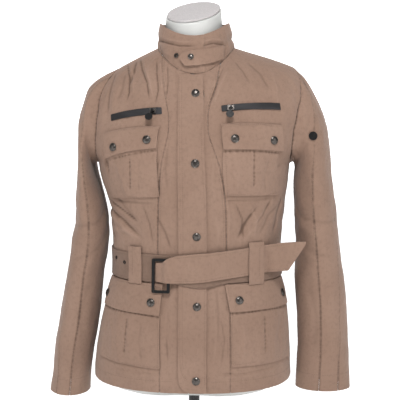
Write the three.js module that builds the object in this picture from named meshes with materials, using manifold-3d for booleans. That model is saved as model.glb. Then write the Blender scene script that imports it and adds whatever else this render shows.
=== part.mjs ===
// A belted safari jacket, size M, worn by a limbless dress form on a pole stand.
// Millimetres, +Z up, the front faces -Y. The origin is the centre of the stand's underside.
// "Right" and "left" are the wearer's, so the right side lies at -X.
import * as THREE from "three";
import { mergeVertices } from "three/addons/utils/BufferGeometryUtils.js";
import Module from "manifold-3d";

const wasm = await Module();
wasm.setup();

// Driving dimensions
const HEM_HEIGHT = 185;
const CLOTH = 1.6;
const DOUBLE_CLOTH = 2.6;
const SEAM_GAP = 0.3;
const LAY = 1;
const BELT_LOW = 206;
const BELT_HIGH = 259;
const BELT_THICK = 2.2;
const SNAP_DIAMETER = 15.5;
const POLE_DIAMETER = 22;
const BASE_DIAMETER = 300;
const BASE_THICK = 12;
const NECK_RADIUS = 54;
const CAP_TILT = THREE.MathUtils.degToRad(25);
const CAP_ROLL = THREE.MathUtils.degToRad(7);

// Finishes
const finish = (color, roughness, metalness) => () =>
  new THREE.MeshStandardMaterial({ color, roughness, metalness });
const CANVAS = finish(0x9f8574, 0.85, 0);
const BLACK_METAL = finish(0x232021, 0.4, 0.8);
const NICKEL = finish(0x6b625c, 0.3, 1);
const BLACK_TAPE = finish(0x2b2829, 0.8, 0);
const WHITE_SHELL = finish(0xe9eae4, 0.45, 0);
const GREY_CAP = finish(0xc4bfbe, 0.6, 0);

// The jacket's rings from hem to neck seam, above the hem. side, front and back are the ring's
// heights there, half its half width, fore and aft its depths, mid its centre, full its
// fullness, ease the room to the form and cap what the form's arm stumps are cut back by.
const TORSO_RINGS = [
  { side: 0, front: 0, back: 0, half: 200, fore: 142, aft: 130, mid: -3, full: 2.4, ease: 22, cap: 0 },
  { side: 26, front: 26, back: 26, half: 199, fore: 141, aft: 129, mid: -3, full: 2.4, ease: 22, cap: 0 },
  { side: 64, front: 64, back: 64, half: 196, fore: 139, aft: 127, mid: -1, full: 2.4, ease: 20, cap: 0 },
  { side: 103, front: 103, back: 103, half: 191, fore: 136, aft: 125, mid: 1, full: 2.4, ease: 18, cap: 0 },
  { side: 145, front: 145, back: 145, half: 184, fore: 130, aft: 120, mid: 4, full: 2.4, ease: 15, cap: 0 },
  { side: 180, front: 180, back: 180, half: 174, fore: 123, aft: 113, mid: 5, full: 2.4, ease: 9, cap: 0 },
  { side: 207, front: 207, back: 207, half: 168.5, fore: 118, aft: 107, mid: 6, full: 2.4, ease: 5, cap: 0 },
  { side: 233, front: 233, back: 233, half: 167.5, fore: 116, aft: 105, mid: 6, full: 2.4, ease: 5, cap: 0 },
  { side: 262, front: 262, back: 262, half: 168.5, fore: 117.5, aft: 107, mid: 6, full: 2.4, ease: 7, cap: 0 },
  { side: 300, front: 300, back: 300, half: 170, fore: 122, aft: 111, mid: 6.5, full: 2.4, ease: 9, cap: 0 },
  { side: 350, front: 350, back: 350, half: 175.5, fore: 128, aft: 115, mid: 5.5, full: 2.4, ease: 11, cap: 0 },
  { side: 390, front: 390, back: 390, half: 185, fore: 132, aft: 117, mid: 2, full: 2.4, ease: 12, cap: 6 },
  { side: 424, front: 424, back: 424, half: 190, fore: 133, aft: 118, mid: 0, full: 2.4, ease: 12, cap: 10 },
  { side: 456, front: 454, back: 456, half: 203, fore: 131, aft: 119, mid: 1.5, full: 2.4, ease: 11, cap: 18 },
  { side: 492, front: 482, back: 490, half: 209, fore: 126, aft: 118, mid: 4, full: 2.4, ease: 9, cap: 24 },
  { side: 532, front: 509, back: 525, half: 211, fore: 119, aft: 113, mid: 10, full: 2.4, ease: 7, cap: 26 },
  { side: 576, front: 535, back: 562, half: 202, fore: 111, aft: 106, mid: 17, full: 2.4, ease: 5.5, cap: 22 },
  { side: 612, front: 558, back: 594, half: 172, fore: 103, aft: 97, mid: 25, full: 2.35, ease: 4, cap: 5 },
  { side: 626, front: 572, back: 620, half: 141, fore: 98, aft: 88, mid: 20, full: 2.3, ease: 2.4, cap: 0 },
  { side: 638, front: 584, back: 642, half: 108, fore: 93, aft: 78, mid: 12, full: 2.2, ease: 1.3, cap: 0 },
  { side: 650, front: 595, back: 660, half: 76, fore: 86, aft: 66, mid: 5, full: 2.1, ease: 2, cap: 0 },
];
const ARMPIT = 12;
const SHOULDER_TIP = 17;
const NECK_SEAM = TORSO_RINGS.length - 1;

// Rings at which the panels have a row, as ring numbers; halves lie midway between two rings.
const TORSO_ROWS = [];
for (let ring = 0; ring <= NECK_SEAM; ring += ring < ARMPIT || ring >= SHOULDER_TIP ? 1 : 0.5)
  if (ring !== SHOULDER_TIP - 0.5) TORSO_ROWS.push(ring);
  else TORSO_ROWS.push(ring - 0.25, ring, ring + 0.25);

// The armhole's edges lie this many degrees before and behind the side line, ring by ring.
const ARMHOLE = [
  { ring: ARMPIT, fore: 0, aft: 0 },
  { ring: 12.5, fore: 18, aft: 15 },
  { ring: 13, fore: 24, aft: 21 },
  { ring: 14, fore: 28, aft: 27 },
  { ring: 15, fore: 28, aft: 28 },
  { ring: 16, fore: 22, aft: 21 },
  { ring: 16.5, fore: 17, aft: 11 },
  { ring: SHOULDER_TIP, fore: 6, aft: -6 },
  { ring: NECK_SEAM, fore: 6, aft: -6 },
];

// Princess seams: distance from the centre line by height above the hem, for each side.
const PRINCESS = [
  { height: 0, right: -58, left: 75 },
  { height: 100, right: -59, left: 75 },
  { height: 192, right: -61, left: 72 },
  { height: 268, right: -63, left: 67 },
  { height: 372, right: -60, left: 65 },
  { height: 428, right: -54, left: 53 },
  { height: 483, right: -41, left: 33 },
  { height: 512, right: -40, left: 31 },
  { height: 540, right: -46, left: 35 },
  { height: 566, right: -52, left: 45 },
  { height: 612, right: -62, left: 58 },
];

// Large folds of the worn cloth: from one place to another on the front or back, the half width
// of the fold and its height, which is negative for a trough.
const TORSO_FOLDS = [
  { face: -1, x0: -172, z0: 345, x1: -95, z1: 290, width: 11, height: -4 },
  { face: -1, x0: -165, z0: 318, x1: -105, z1: 274, width: 9, height: 3 },
  { face: -1, x0: 122, z0: 345, x1: 88, z1: 290, width: 10, height: -3.5 },
  { face: -1, x0: 165, z0: 350, x1: 128, z1: 288, width: 11, height: 3 },
  { face: -1, x0: -110, z0: 606, x1: -117, z1: 556, width: 8, height: -2.6 },
  { face: -1, x0: -84, z0: 626, x1: -74, z1: 570, width: 9, height: 3 },
  { face: -1, x0: 50, z0: 578, x1: 37, z1: 548, width: 7, height: -2 },
  { face: -1, x0: -60, z0: 586, x1: -42, z1: 524, width: 7, height: -2 },
  { face: -1, x0: -40, z0: 330, x1: -60, z1: 285, width: 9, height: 2.5 },
  { face: 1, x0: -120, z0: 350, x1: -60, z1: 285, width: 12, height: -4 },
  { face: 1, x0: 115, z0: 345, x1: 62, z1: 282, width: 12, height: -4 },
  { face: 1, x0: -35, z0: 330, x1: -20, z1: 275, width: 11, height: 3.5 },
  { face: 1, x0: 20, z0: 335, x1: 30, z1: 275, width: 11, height: 3 },
  { face: 1, x0: -70, z0: 190, x1: -95, z1: 60, width: 18, height: 4 },
  { face: 1, x0: 75, z0: 190, x1: 92, z1: 50, width: 18, height: 4 },
  { face: 1, x0: -130, z0: 470, x1: -105, z1: 380, width: 13, height: -3.5 },
  { face: 1, x0: 132, z0: 470, x1: 108, z1: 385, width: 13, height: -3.5 },
];

// A row of a table at any place between its rows, on a smooth curve through them.
function smoothRow(table, place) {
  const last = table.length - 1;
  const at = Math.min(Math.max(place, 0), last);
  const from = Math.min(Math.floor(at), last - 1);
  const t = at - from;
  const row = {};
  for (const key of Object.keys(table[0])) {
    const before = table[Math.max(from - 1, 0)][key];
    const here = table[from][key];
    const next = table[from + 1][key];
    const after = table[Math.min(from + 2, last)][key];
    const bend = (next - before) * t + (2 * before - 5 * here + 4 * next - after) * t * t;
    row[key] = here + 0.5 * (bend + (3 * here - before - 3 * next + after) * t ** 3);
  }
  return row;
}

// A column of a table by the value of another one, on straight lines.
function lookUp(table, key, value, wanted) {
  let i = 1;
  while (i < table.length - 1 && table[i][key] < value) i += 1;
  const share = (value - table[i - 1][key]) / (table[i][key] - table[i - 1][key]);
  return THREE.MathUtils.lerp(table[i - 1][wanted], table[i][wanted], THREE.MathUtils.clamp(share, 0, 1));
}

const power = (value, exponent) => Math.sign(value) * Math.abs(value) ** exponent;

// A point of a ring; the angle runs from centre front, and grows towards the wearer's left.
function ringPoint(row, angle) {
  const across = Math.sin(angle);
  const along = Math.cos(angle);
  const exponent = 2 / row.full;
  return new THREE.Vector3(
    row.mid + row.half * power(across, exponent),
    -(along > 0 ? row.fore : row.aft) * power(along, exponent),
    THREE.MathUtils.lerp(along > 0 ? row.front : row.back, row.side, across * across),
  );
}
const torsoBase = (ring, angle) => ringPoint(smoothRow(TORSO_RINGS, ring), angle);

// The outward normal of any surface that a ring number and an angle give.
function normalOf(surface, ring, angle, lastRing, angleStep = 0.02) {
  const around = surface(ring, angle + angleStep).sub(surface(ring, angle - angleStep));
  const upper = surface(Math.min(ring + 0.05, lastRing), angle);
  const up = upper.sub(surface(Math.max(ring - 0.05, 0), angle));
  return around.cross(up).normalize();
}
const torsoNormal = (ring, angle) => normalOf(torsoBase, ring, angle, NECK_SEAM);

function foldHeight(folds, point) {
  let sum = 0;
  for (const fold of folds) {
    if (fold.face * point.y < 0) continue;
    const run = new THREE.Vector2(fold.x1 - fold.x0, fold.z1 - fold.z0);
    const reach = new THREE.Vector2(point.x - fold.x0, point.z - fold.z0);
    const share = THREE.MathUtils.clamp(reach.dot(run) / run.lengthSq(), 0, 1);
    const away = reach.sub(run.multiplyScalar(share)).length() / fold.width;
    sum += fold.height * Math.exp(-away * away);
  }
  return sum;
}
function torsoPoint(ring, angle) {
  const point = torsoBase(ring, angle);
  return point.addScaledVector(torsoNormal(ring, angle), foldHeight(TORSO_FOLDS, point));
}

// The cloth's length round half a ring, from centre front to centre back, in equal angle steps.
const HALF_RING_STEPS = 60;
const halfRings = new Map();
function halfRing(ring) {
  const key = ring.toFixed(4);
  if (!halfRings.has(key)) {
    const row = smoothRow(TORSO_RINGS, ring);
    const lengths = [0];
    let before = ringPoint(row, 0);
    for (let i = 1; i <= HALF_RING_STEPS; i += 1) {
      const here = ringPoint(row, (i / HALF_RING_STEPS) * Math.PI);
      lengths.push(lengths[i - 1] + here.distanceTo(before));
      before = here;
    }
    halfRings.set(key, lengths);
  }
  return halfRings.get(key);
}
function lengthAt(ring, angle) {
  const lengths = halfRing(ring);
  const place = (Math.abs(angle) / Math.PI) * HALF_RING_STEPS;
  const i = Math.min(Math.floor(place), HALF_RING_STEPS - 1);
  return Math.sign(angle) * THREE.MathUtils.lerp(lengths[i], lengths[i + 1], place - i);
}
function angleAt(ring, length) {
  const lengths = halfRing(ring);
  const wanted = Math.abs(length);
  let i = 1;
  while (i < HALF_RING_STEPS && lengths[i] < wanted) i += 1;
  const share = (wanted - lengths[i - 1]) / (lengths[i] - lengths[i - 1]);
  return (Math.sign(length) * (i - 1 + share) * Math.PI) / HALF_RING_STEPS;
}
function angleAtX(ring, x, table = TORSO_RINGS) {
  const row = smoothRow(table, ring);
  const share = THREE.MathUtils.clamp((x - row.mid) / row.half, -1, 1);
  return Math.asin(power(share, row.full / 2));
}

// The ring on which a point at a given height lies, sought by halving.
function ringAtHeight(height, angleOn, surface = torsoBase, last = NECK_SEAM) {
  let low = 0;
  let high = last;
  for (let i = 0; i < 22; i += 1) {
    const middle = (low + high) / 2;
    if (surface(middle, angleOn(middle)).z < height) low = middle;
    else high = middle;
  }
  return (low + high) / 2;
}

// Makes one closed solid from two grids of points, the outer one seen from outside with its
// columns to the right and its rows upwards. A looped grid's last column meets its first.
function wall(outer, inner, looped = false) {
  const rows = outer.length;
  const columns = outer[0].length;
  const points = [...outer.flat(), ...inner.flat()];
  const index = [];
  const id = (side, row, column) => side * rows * columns + row * columns + (column % columns);
  const quad = (a, b, c, d) => index.push(a, b, c, a, c, d);
  const across = looped ? columns : columns - 1;
  for (let r = 0; r < rows - 1; r += 1)
    for (let c = 0; c < across; c += 1) {
      quad(id(0, r, c), id(0, r, c + 1), id(0, r + 1, c + 1), id(0, r + 1, c));
      quad(id(1, r, c), id(1, r + 1, c), id(1, r + 1, c + 1), id(1, r, c + 1));
    }
  for (let c = 0; c < across; c += 1) {
    quad(id(0, 0, c), id(1, 0, c), id(1, 0, c + 1), id(0, 0, c + 1));
    quad(id(0, rows - 1, c), id(0, rows - 1, c + 1), id(1, rows - 1, c + 1), id(1, rows - 1, c));
  }
  if (!looped)
    for (let r = 0; r < rows - 1; r += 1) {
      quad(id(0, r, 0), id(0, r + 1, 0), id(1, r + 1, 0), id(1, r, 0));
      const last = columns - 1;
      quad(id(0, r, last), id(1, r, last), id(1, r + 1, last), id(0, r + 1, last));
    }
  const geometry = new THREE.BufferGeometry().setFromPoints(points);
  geometry.setIndex(index);
  geometry.computeVertexNormals();
  return geometry;
}

// A closed solid through rings of points, from the lowest to the highest, with flat ends.
function loft(rings) {
  const count = rings[0].length;
  const points = rings.flat();
  const index = [];
  for (let r = 0; r < rings.length - 1; r += 1)
    for (let c = 0; c < count; c += 1) {
      const next = (c + 1) % count;
      const [a, b, d, e] = [r * count + c, r * count + next, (r + 1) * count + next, (r + 1) * count + c];
      index.push(a, b, d, a, d, e);
    }
  const middle = (ring) => ring.reduce((sum, p) => sum.add(p), new THREE.Vector3()).divideScalar(count);
  points.push(middle(rings[0]), middle(rings[rings.length - 1]));
  const top = (rings.length - 1) * count;
  for (let c = 0; c < count; c += 1) {
    const next = (c + 1) % count;
    index.push(points.length - 2, next, c, points.length - 1, top + c, top + next);
  }
  const geometry = new THREE.BufferGeometry().setFromPoints(points);
  geometry.setIndex(index);
  geometry.computeVertexNormals();
  return geometry;
}

const jacket = new THREE.Group();
jacket.position.z = HEM_HEIGHT;
const stand = new THREE.Group();
function add(group, name, geometry, look) {
  const mesh = new THREE.Mesh(geometry, look());
  mesh.name = name;
  group.add(mesh);
  return mesh;
}

// Torso panels: each lies between two seams, which are given as angles ring by ring.
const sideFront = (ring) => Math.PI / 2 - THREE.MathUtils.degToRad(lookUp(ARMHOLE, "ring", ring, "fore"));
const sideBack = (ring) => Math.PI / 2 + THREE.MathUtils.degToRad(lookUp(ARMHOLE, "ring", ring, "aft"));
const princessAngle = (side) => (ring) => {
  const height = smoothRow(TORSO_RINGS, ring).front;
  return angleAtX(ring, lookUp(PRINCESS, "height", height, side));
};
function panelAngles(ring, leftSeam, rightSeam, shares, gap) {
  const from = lengthAt(ring, leftSeam(ring)) + gap / 2;
  const to = lengthAt(ring, rightSeam(ring)) - gap / 2;
  return shares.map((share) => angleAt(ring, THREE.MathUtils.lerp(from, to, share)));
}
const evenly = (count) => Array.from({ length: count + 1 }, (_, i) => i / count);
const PANELS = [
  { name: "right_side_front", from: (r) => -sideFront(r), to: princessAngle("right"), shares: evenly(8) },
  { name: "right_front", from: princessAngle("right"), to: () => 0, shares: evenly(4) },
  { name: "left_front", from: () => 0, to: princessAngle("left"), shares: [0, 0.2, 0.41, 0.7, 1] },
  { name: "left_side_front", from: princessAngle("left"), to: (r) => sideFront(r), shares: evenly(8) },
];
for (const panel of PANELS) {
  const grid = TORSO_ROWS.map((ring) =>
    panelAngles(ring, panel.from, panel.to, panel.shares, SEAM_GAP).map((angle) => [ring, angle]));
  const outer = grid.map((row) => row.map(([ring, angle]) => torsoPoint(ring, angle)));
  const inner = grid.map((row, r) =>
    row.map(([ring, angle], c) => outer[r][c].clone().addScaledVector(torsoNormal(ring, angle), -CLOTH)));
  add(jacket, panel.name, wall(outer, inner), CANVAS);
}

// The back runs from the left side round the centre back to the right side.
const BACK_SHARES = evenly(15);
function backAngles(ring, gap) {
  const edge = lengthAt(ring, sideBack(ring)) + gap / 2;
  const round = 2 * halfRing(ring)[HALF_RING_STEPS];
  return BACK_SHARES.map((share) => {
    const length = THREE.MathUtils.lerp(edge, round - edge, share);
    return length <= round / 2 ? angleAt(ring, length) : 2 * Math.PI + angleAt(ring, length - round);
  });
}
{
  const angles = TORSO_ROWS.map((ring) => backAngles(ring, SEAM_GAP));
  const outer = TORSO_ROWS.map((ring, r) => angles[r].map((angle) => torsoPoint(ring, angle)));
  const inner = TORSO_ROWS.map((ring, r) =>
    angles[r].map((angle, c) => outer[r][c].clone().addScaledVector(torsoNormal(ring, angle), -CLOTH)));
  add(jacket, "back", wall(outer, inner), CANVAS);
}

// A seam's start row for the piece that is sewn to a finished edge: the row lies a seam's gap
// beyond the edge, and its inner point leans halfway between the two pieces' normals.
function seamStart(edge, normals, beyond, ownNormals) {
  const outer = edge.map((point, i) => point.clone().addScaledVector(beyond[i], SEAM_GAP));
  const inner = outer.map((point, i) => {
    const valley = ownNormals[i].dot(beyond[i]) < 0;
    const lean = valley ? normals[i].clone().add(ownNormals[i]).normalize() : normals[i];
    return point.clone().addScaledVector(lean, -CLOTH);
  });
  return { outer, inner };
}

// Sleeve rings from the armhole to the cuff. outX and outZ give the outermost point and inX and
// inZ the one at the underarm, mid is the ring's place fore and aft, deep its half depth, and
// stripFore and stripAft the outer strip's two seams in degrees from the underarm round the front.
const RIGHT_SLEEVE = [
  { outX: 145, outZ: 614, inX: 190, inZ: 424, mid: 0, deep: 62, stripFore: 150, stripAft: 208 },
  { outX: 166, outZ: 606, inX: 195.5, inZ: 427, mid: 0, deep: 65, stripFore: 140, stripAft: 200 },
  { outX: 188, outZ: 594, inX: 198.8, inZ: 425, mid: 0, deep: 68.5, stripFore: 128, stripAft: 190 },
  { outX: 205, outZ: 579, inX: 199.8, inZ: 420.5, mid: 0, deep: 71, stripFore: 116, stripAft: 180 },
  { outX: 216, outZ: 553, inX: 199.4, inZ: 414.5, mid: 0, deep: 71, stripFore: 102, stripAft: 170 },
  { outX: 225, outZ: 520, inX: 198, inZ: 408.5, mid: 0, deep: 72, stripFore: 94, stripAft: 160 },
  { outX: 227, outZ: 484, inX: 196.5, inZ: 402.5, mid: 0, deep: 73, stripFore: 88, stripAft: 155 },
  { outX: 228, outZ: 446, inX: 195, inZ: 396, mid: 0, deep: 73.5, stripFore: 84, stripAft: 152 },
  { outX: 231, outZ: 404, inX: 191.5, inZ: 387, mid: 1, deep: 73, stripFore: 81, stripAft: 150 },
  { outX: 237, outZ: 350, inX: 180, inZ: 348, mid: 2, deep: 71, stripFore: 79, stripAft: 148 },
  { outX: 242, outZ: 312, inX: 174, inZ: 311, mid: 3, deep: 68, stripFore: 79, stripAft: 146 },
  { outX: 247, outZ: 277, inX: 173, inZ: 277, mid: 4, deep: 65, stripFore: 79, stripAft: 143 },
  { outX: 253, outZ: 240, inX: 177, inZ: 240, mid: 4, deep: 63, stripFore: 79, stripAft: 140 },
  { outX: 259, outZ: 203, inX: 184.5, inZ: 203, mid: 3, deep: 61, stripFore: 79, stripAft: 137 },
  { outX: 266, outZ: 168, inX: 188, inZ: 168, mid: 2, deep: 59, stripFore: 79, stripAft: 133 },
  { outX: 272.5, outZ: 132, inX: 191, inZ: 132, mid: 1, deep: 57, stripFore: 79, stripAft: 130 },
  { outX: 279, outZ: 96, inX: 196.5, inZ: 96, mid: 0, deep: 55, stripFore: 78, stripAft: 127 },
  { outX: 286, outZ: 61, inX: 203, inZ: 61, mid: -1, deep: 53.5, stripFore: 78, stripAft: 124 },
  { outX: 289, outZ: 26, inX: 209, inZ: 26, mid: -3, deep: 52, stripFore: 78, stripAft: 121 },
  { outX: 291.5, outZ: -6, inX: 213, inZ: -6, mid: -5, deep: 51, stripFore: 78, stripAft: 119 },
  { outX: 298, outZ: -38, inX: 214.5, inZ: -42, mid: -6, deep: 50, stripFore: 78, stripAft: 118 },
];
const LEFT_SLEEVE = [
  { outX: 200, outZ: 610, inX: 190, inZ: 424, mid: 0, deep: 62, stripFore: 150, stripAft: 208 },
  { outX: 216, outZ: 596, inX: 195, inZ: 427.5, mid: 0, deep: 64, stripFore: 142, stripAft: 202 },
  { outX: 230, outZ: 575, inX: 198, inZ: 427.5, mid: 0, deep: 66, stripFore: 128, stripAft: 194 },
  { outX: 243.5, outZ: 549, inX: 198, inZ: 425.5, mid: 0, deep: 68, stripFore: 112, stripAft: 184 },
  { outX: 254.5, outZ: 525, inX: 199.5, inZ: 423, mid: 0, deep: 69, stripFore: 99, stripAft: 174 },
  { outX: 263, outZ: 496, inX: 200, inZ: 419.5, mid: 0, deep: 70, stripFore: 90, stripAft: 166 },
  { outX: 268.5, outZ: 462, inX: 200, inZ: 414, mid: 0, deep: 70.5, stripFore: 84, stripAft: 160 },
  { outX: 271.5, outZ: 430, inX: 199, inZ: 406, mid: 0, deep: 70.5, stripFore: 80, stripAft: 156 },
  { outX: 274, outZ: 398, inX: 198.5, inZ: 392, mid: 1, deep: 69.5, stripFore: 78, stripAft: 154 },
  { outX: 282, outZ: 352, inX: 199.5, inZ: 350, mid: 2, deep: 68, stripFore: 76, stripAft: 152 },
  { outX: 287, outZ: 314, inX: 202, inZ: 313, mid: 3, deep: 65, stripFore: 76, stripAft: 147 },
  { outX: 291, outZ: 277, inX: 204.5, inZ: 277, mid: 4, deep: 61, stripFore: 78, stripAft: 142 },
  { outX: 297, outZ: 240, inX: 204, inZ: 240, mid: 4, deep: 56, stripFore: 80, stripAft: 137 },
  { outX: 302.5, outZ: 203, inX: 202.5, inZ: 203, mid: 3, deep: 52, stripFore: 82, stripAft: 133 },
  { outX: 308, outZ: 166, inX: 205, inZ: 166, mid: 2, deep: 49.5, stripFore: 82, stripAft: 130 },
  { outX: 311, outZ: 128, inX: 208, inZ: 128, mid: 1, deep: 48, stripFore: 81, stripAft: 127 },
  { outX: 313.5, outZ: 90, inX: 209.5, inZ: 90, mid: 0, deep: 46.5, stripFore: 80, stripAft: 125 },
  { outX: 315, outZ: 52, inX: 210.5, inZ: 52, mid: -2, deep: 44.5, stripFore: 79, stripAft: 122 },
  { outX: 317, outZ: 12, inX: 208.5, inZ: 12, mid: -4, deep: 41, stripFore: 78, stripAft: 120 },
  { outX: 319.5, outZ: -28, inX: 207, inZ: -28, mid: -6, deep: 37, stripFore: 77, stripAft: 119 },
];

// Creases of the hanging sleeves, placed like the torso's folds.
const RIGHT_SLEEVE_FOLDS = [
  { face: -1, x0: -244, z0: 330, x1: -215, z1: 268, width: 9, height: -4.5 },
  { face: -1, x0: -252, z0: 262, x1: -216, z1: 236, width: 8, height: -4 },
  { face: -1, x0: -190, z0: 300, x1: -214, z1: 286, width: 9, height: 3 },
  { face: -1, x0: -212, z0: 566, x1: -214, z1: 488, width: 5, height: -2.5 },
  { face: -1, x0: -222, z0: 44, x1: -238, z1: -4, width: 9, height: -4 },
  { face: 1, x0: -246, z0: 300, x1: -205, z1: 262, width: 10, height: -4 },
  { face: 1, x0: -250, z0: 240, x1: -210, z1: 215, width: 9, height: -3.5 },
  { face: 1, x0: -205, z0: 430, x1: -225, z1: 360, width: 10, height: -3 },
];
const LEFT_SLEEVE_FOLDS = [
  { face: -1, x0: 222, z0: 530, x1: 226, z1: 470, width: 6, height: -3 },
  { face: -1, x0: 214, z0: 400, x1: 226, z1: 330, width: 8, height: -2.5 },
  { face: -1, x0: 250, z0: 196, x1: 296, z1: 186, width: 8, height: -3 },
  { face: -1, x0: 248, z0: 132, x1: 292, z1: 120, width: 8, height: -3 },
  { face: -1, x0: 210, z0: 236, x1: 244, z1: 222, width: 9, height: -3.5 },
  { face: 1, x0: 282, z0: 300, x1: 225, z1: 262, width: 10, height: -4 },
  { face: 1, x0: 290, z0: 236, x1: 228, z1: 214, width: 9, height: -3.5 },
  { face: 1, x0: 225, z0: 430, x1: 246, z1: 360, width: 10, height: -3 },
];

// The armhole's edge, from the armpit up the front to the shoulder tip and down the back.
const ARMHOLE_ROWS = TORSO_ROWS.filter((ring) => ring >= ARMPIT && ring <= SHOULDER_TIP);
function armhole(side) {
  const up = ARMHOLE_ROWS.map((ring) => [ring, side * sideFront(ring)]);
  const down = ARMHOLE_ROWS.slice(1, -1).reverse().map((ring) => [ring, side * sideBack(ring)]);
  const places = [...up, ...down];
  const edge = places.map(([ring, angle]) => torsoPoint(ring, angle));
  const normals = places.map(([ring, angle]) => torsoNormal(ring, angle));
  const centre = edge.reduce((sum, p) => sum.add(p), new THREE.Vector3()).divideScalar(edge.length);
  const beyond = edge.map((point, i) => {
    const along = edge[(i + 1) % edge.length].clone().sub(edge[(i + edge.length - 1) % edge.length]);
    const out = normals[i].clone().cross(along).normalize();
    return out.dot(centre.clone().sub(point)) > 0 ? out : out.negate();
  });
  return { edge, normals, beyond };
}

const ARM_COLUMNS = 2 * (ARMHOLE_ROWS.length - 1);
const STRIP_FROM = ARMHOLE_ROWS.length - 3;
const STRIP_TO = ARMHOLE_ROWS.length + 1;
const SLEEVE_PIECES = [
  { name: "sleeve_front", from: 0, to: STRIP_FROM },
  { name: "sleeve_strip", from: STRIP_FROM, to: STRIP_TO },
  { name: "sleeve_back", from: STRIP_TO, to: ARM_COLUMNS },
];
const BLEND_RINGS = 4;

function buildSleeve(side, label, table, folds) {
  const hole = armhole(side);
  const ellipse = (row, degrees) => {
    const out = new THREE.Vector3(side * row.outX, 0, row.outZ);
    const under = new THREE.Vector3(side * row.inX, 0, row.inZ);
    const turn = THREE.MathUtils.degToRad(degrees);
    const point = under.lerp(out, (1 - Math.cos(turn)) / 2);
    point.y = row.mid - row.deep * Math.sin(turn);
    return point;
  };
  // Where each point of the armhole's edge lies round the first ring, in degrees.
  const first = table[0];
  const span = new THREE.Vector3(side * (first.outX - first.inX), 0, first.outZ - first.inZ);
  const startDegrees = hole.edge.map((point, i) => {
    if (i === 0) return 0;
    const rise = new THREE.Vector3(side * first.inX, 0, first.inZ).sub(point).negate().dot(span);
    const cosine = 1 - (2 * rise) / span.lengthSq();
    const degrees = THREE.MathUtils.radToDeg(Math.atan2((first.mid - point.y) / first.deep, cosine));
    return degrees < 0 ? degrees + 360 : degrees;
  });
  startDegrees.push(360);
  const between = (list, column) => {
    const i = Math.min(Math.floor(column), list.length - 2);
    return THREE.MathUtils.lerp(list[i], list[i + 1], column - i);
  };
  const edgeAt = (column) => {
    const i = Math.floor(column) % ARM_COLUMNS;
    return hole.edge[i].clone().lerp(hole.edge[(i + 1) % ARM_COLUMNS], column - Math.floor(column));
  };
  const degreesAt = (row, ring, column) => {
    let own = 0;
    if (column <= STRIP_FROM) own = (row.stripFore * column) / STRIP_FROM;
    else if (column >= STRIP_TO) {
      const share = (column - STRIP_TO) / (ARM_COLUMNS - STRIP_TO);
      own = THREE.MathUtils.lerp(row.stripAft, 360, share);
    } else {
      const share = (column - STRIP_FROM) / (STRIP_TO - STRIP_FROM);
      own = THREE.MathUtils.lerp(row.stripFore, row.stripAft, share);
    }
    return THREE.MathUtils.lerp(between(startDegrees, column), own, Math.min(1, ring / BLEND_RINGS));
  };
  const surface = (ring, column) => {
    const wrapped = (column + ARM_COLUMNS) % ARM_COLUMNS;
    const row = smoothRow(table, ring);
    const point = ellipse(row, degreesAt(row, ring, wrapped));
    if (ring < BLEND_RINGS) {
      const share = (1 - ring / BLEND_RINGS) ** 1.3;
      const astray = edgeAt(wrapped).sub(ellipse(first, between(startDegrees, wrapped)));
      point.addScaledVector(astray, share);
    }
    return point;
  };
  // Columns run from the underarm round the front, and rows run down, which on the wearer's
  // right side is seen from outside as leftwards and down.
  const normal = (ring, column) => {
    const out = normalOf(surface, ring, column, table.length - 1, 0.25);
    return side < 0 ? out : out.negate();
  };
  const cloth = (ring, column) => {
    const point = surface(ring, column);
    const calm = THREE.MathUtils.clamp(ring - 1, 0, 1);
    return point.addScaledVector(normal(ring, column), calm * foldHeight(folds, point));
  };
  for (const piece of SLEEVE_PIECES) {
    const width = surface(8, piece.from).distanceTo(surface(8, piece.from + 1));
    const trim = SEAM_GAP / 2 / width;
    const columns = [];
    for (let c = piece.from; c <= piece.to; c += 1) columns.push(c);
    columns[0] += trim;
    columns[columns.length - 1] -= trim;
    const own = columns.map((column) => normal(0.6, column));
    const lerpAt = (list, column) => {
      const i = Math.floor(column) % ARM_COLUMNS;
      return list[i].clone().lerp(list[(i + 1) % ARM_COLUMNS], column - Math.floor(column));
    };
    const start = seamStart(
      columns.map((column) => lerpAt(hole.edge, column)),
      columns.map((column) => lerpAt(hole.normals, column).normalize()),
      columns.map((column) => lerpAt(hole.beyond, column).normalize()),
      own,
    );
    const outer = [start.outer];
    const inner = [start.inner];
    for (let ring = 1; ring < table.length; ring += 1) {
      const row = columns.map((column) => cloth(ring, column));
      outer.push(row);
      inner.push(row.map((p, c) => p.clone().addScaledVector(normal(ring, columns[c]), -CLOTH)));
    }
    // The grid must be seen from outside with rows upwards, so the rows are turned round, and
    // on the right side, where the columns then run leftwards, the columns too.
    outer.reverse();
    inner.reverse();
    if (side < 0)
      for (const row of [...outer, ...inner]) row.reverse();
    add(jacket, `${label}_${piece.name}`, wall(outer, inner), CANVAS);
  }
  return { cloth, normal };
}
buildSleeve(-1, "right", RIGHT_SLEEVE, RIGHT_SLEEVE_FOLDS);
const leftSleeve = buildSleeve(1, "left", LEFT_SLEEVE, LEFT_SLEEVE_FOLDS);


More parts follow.
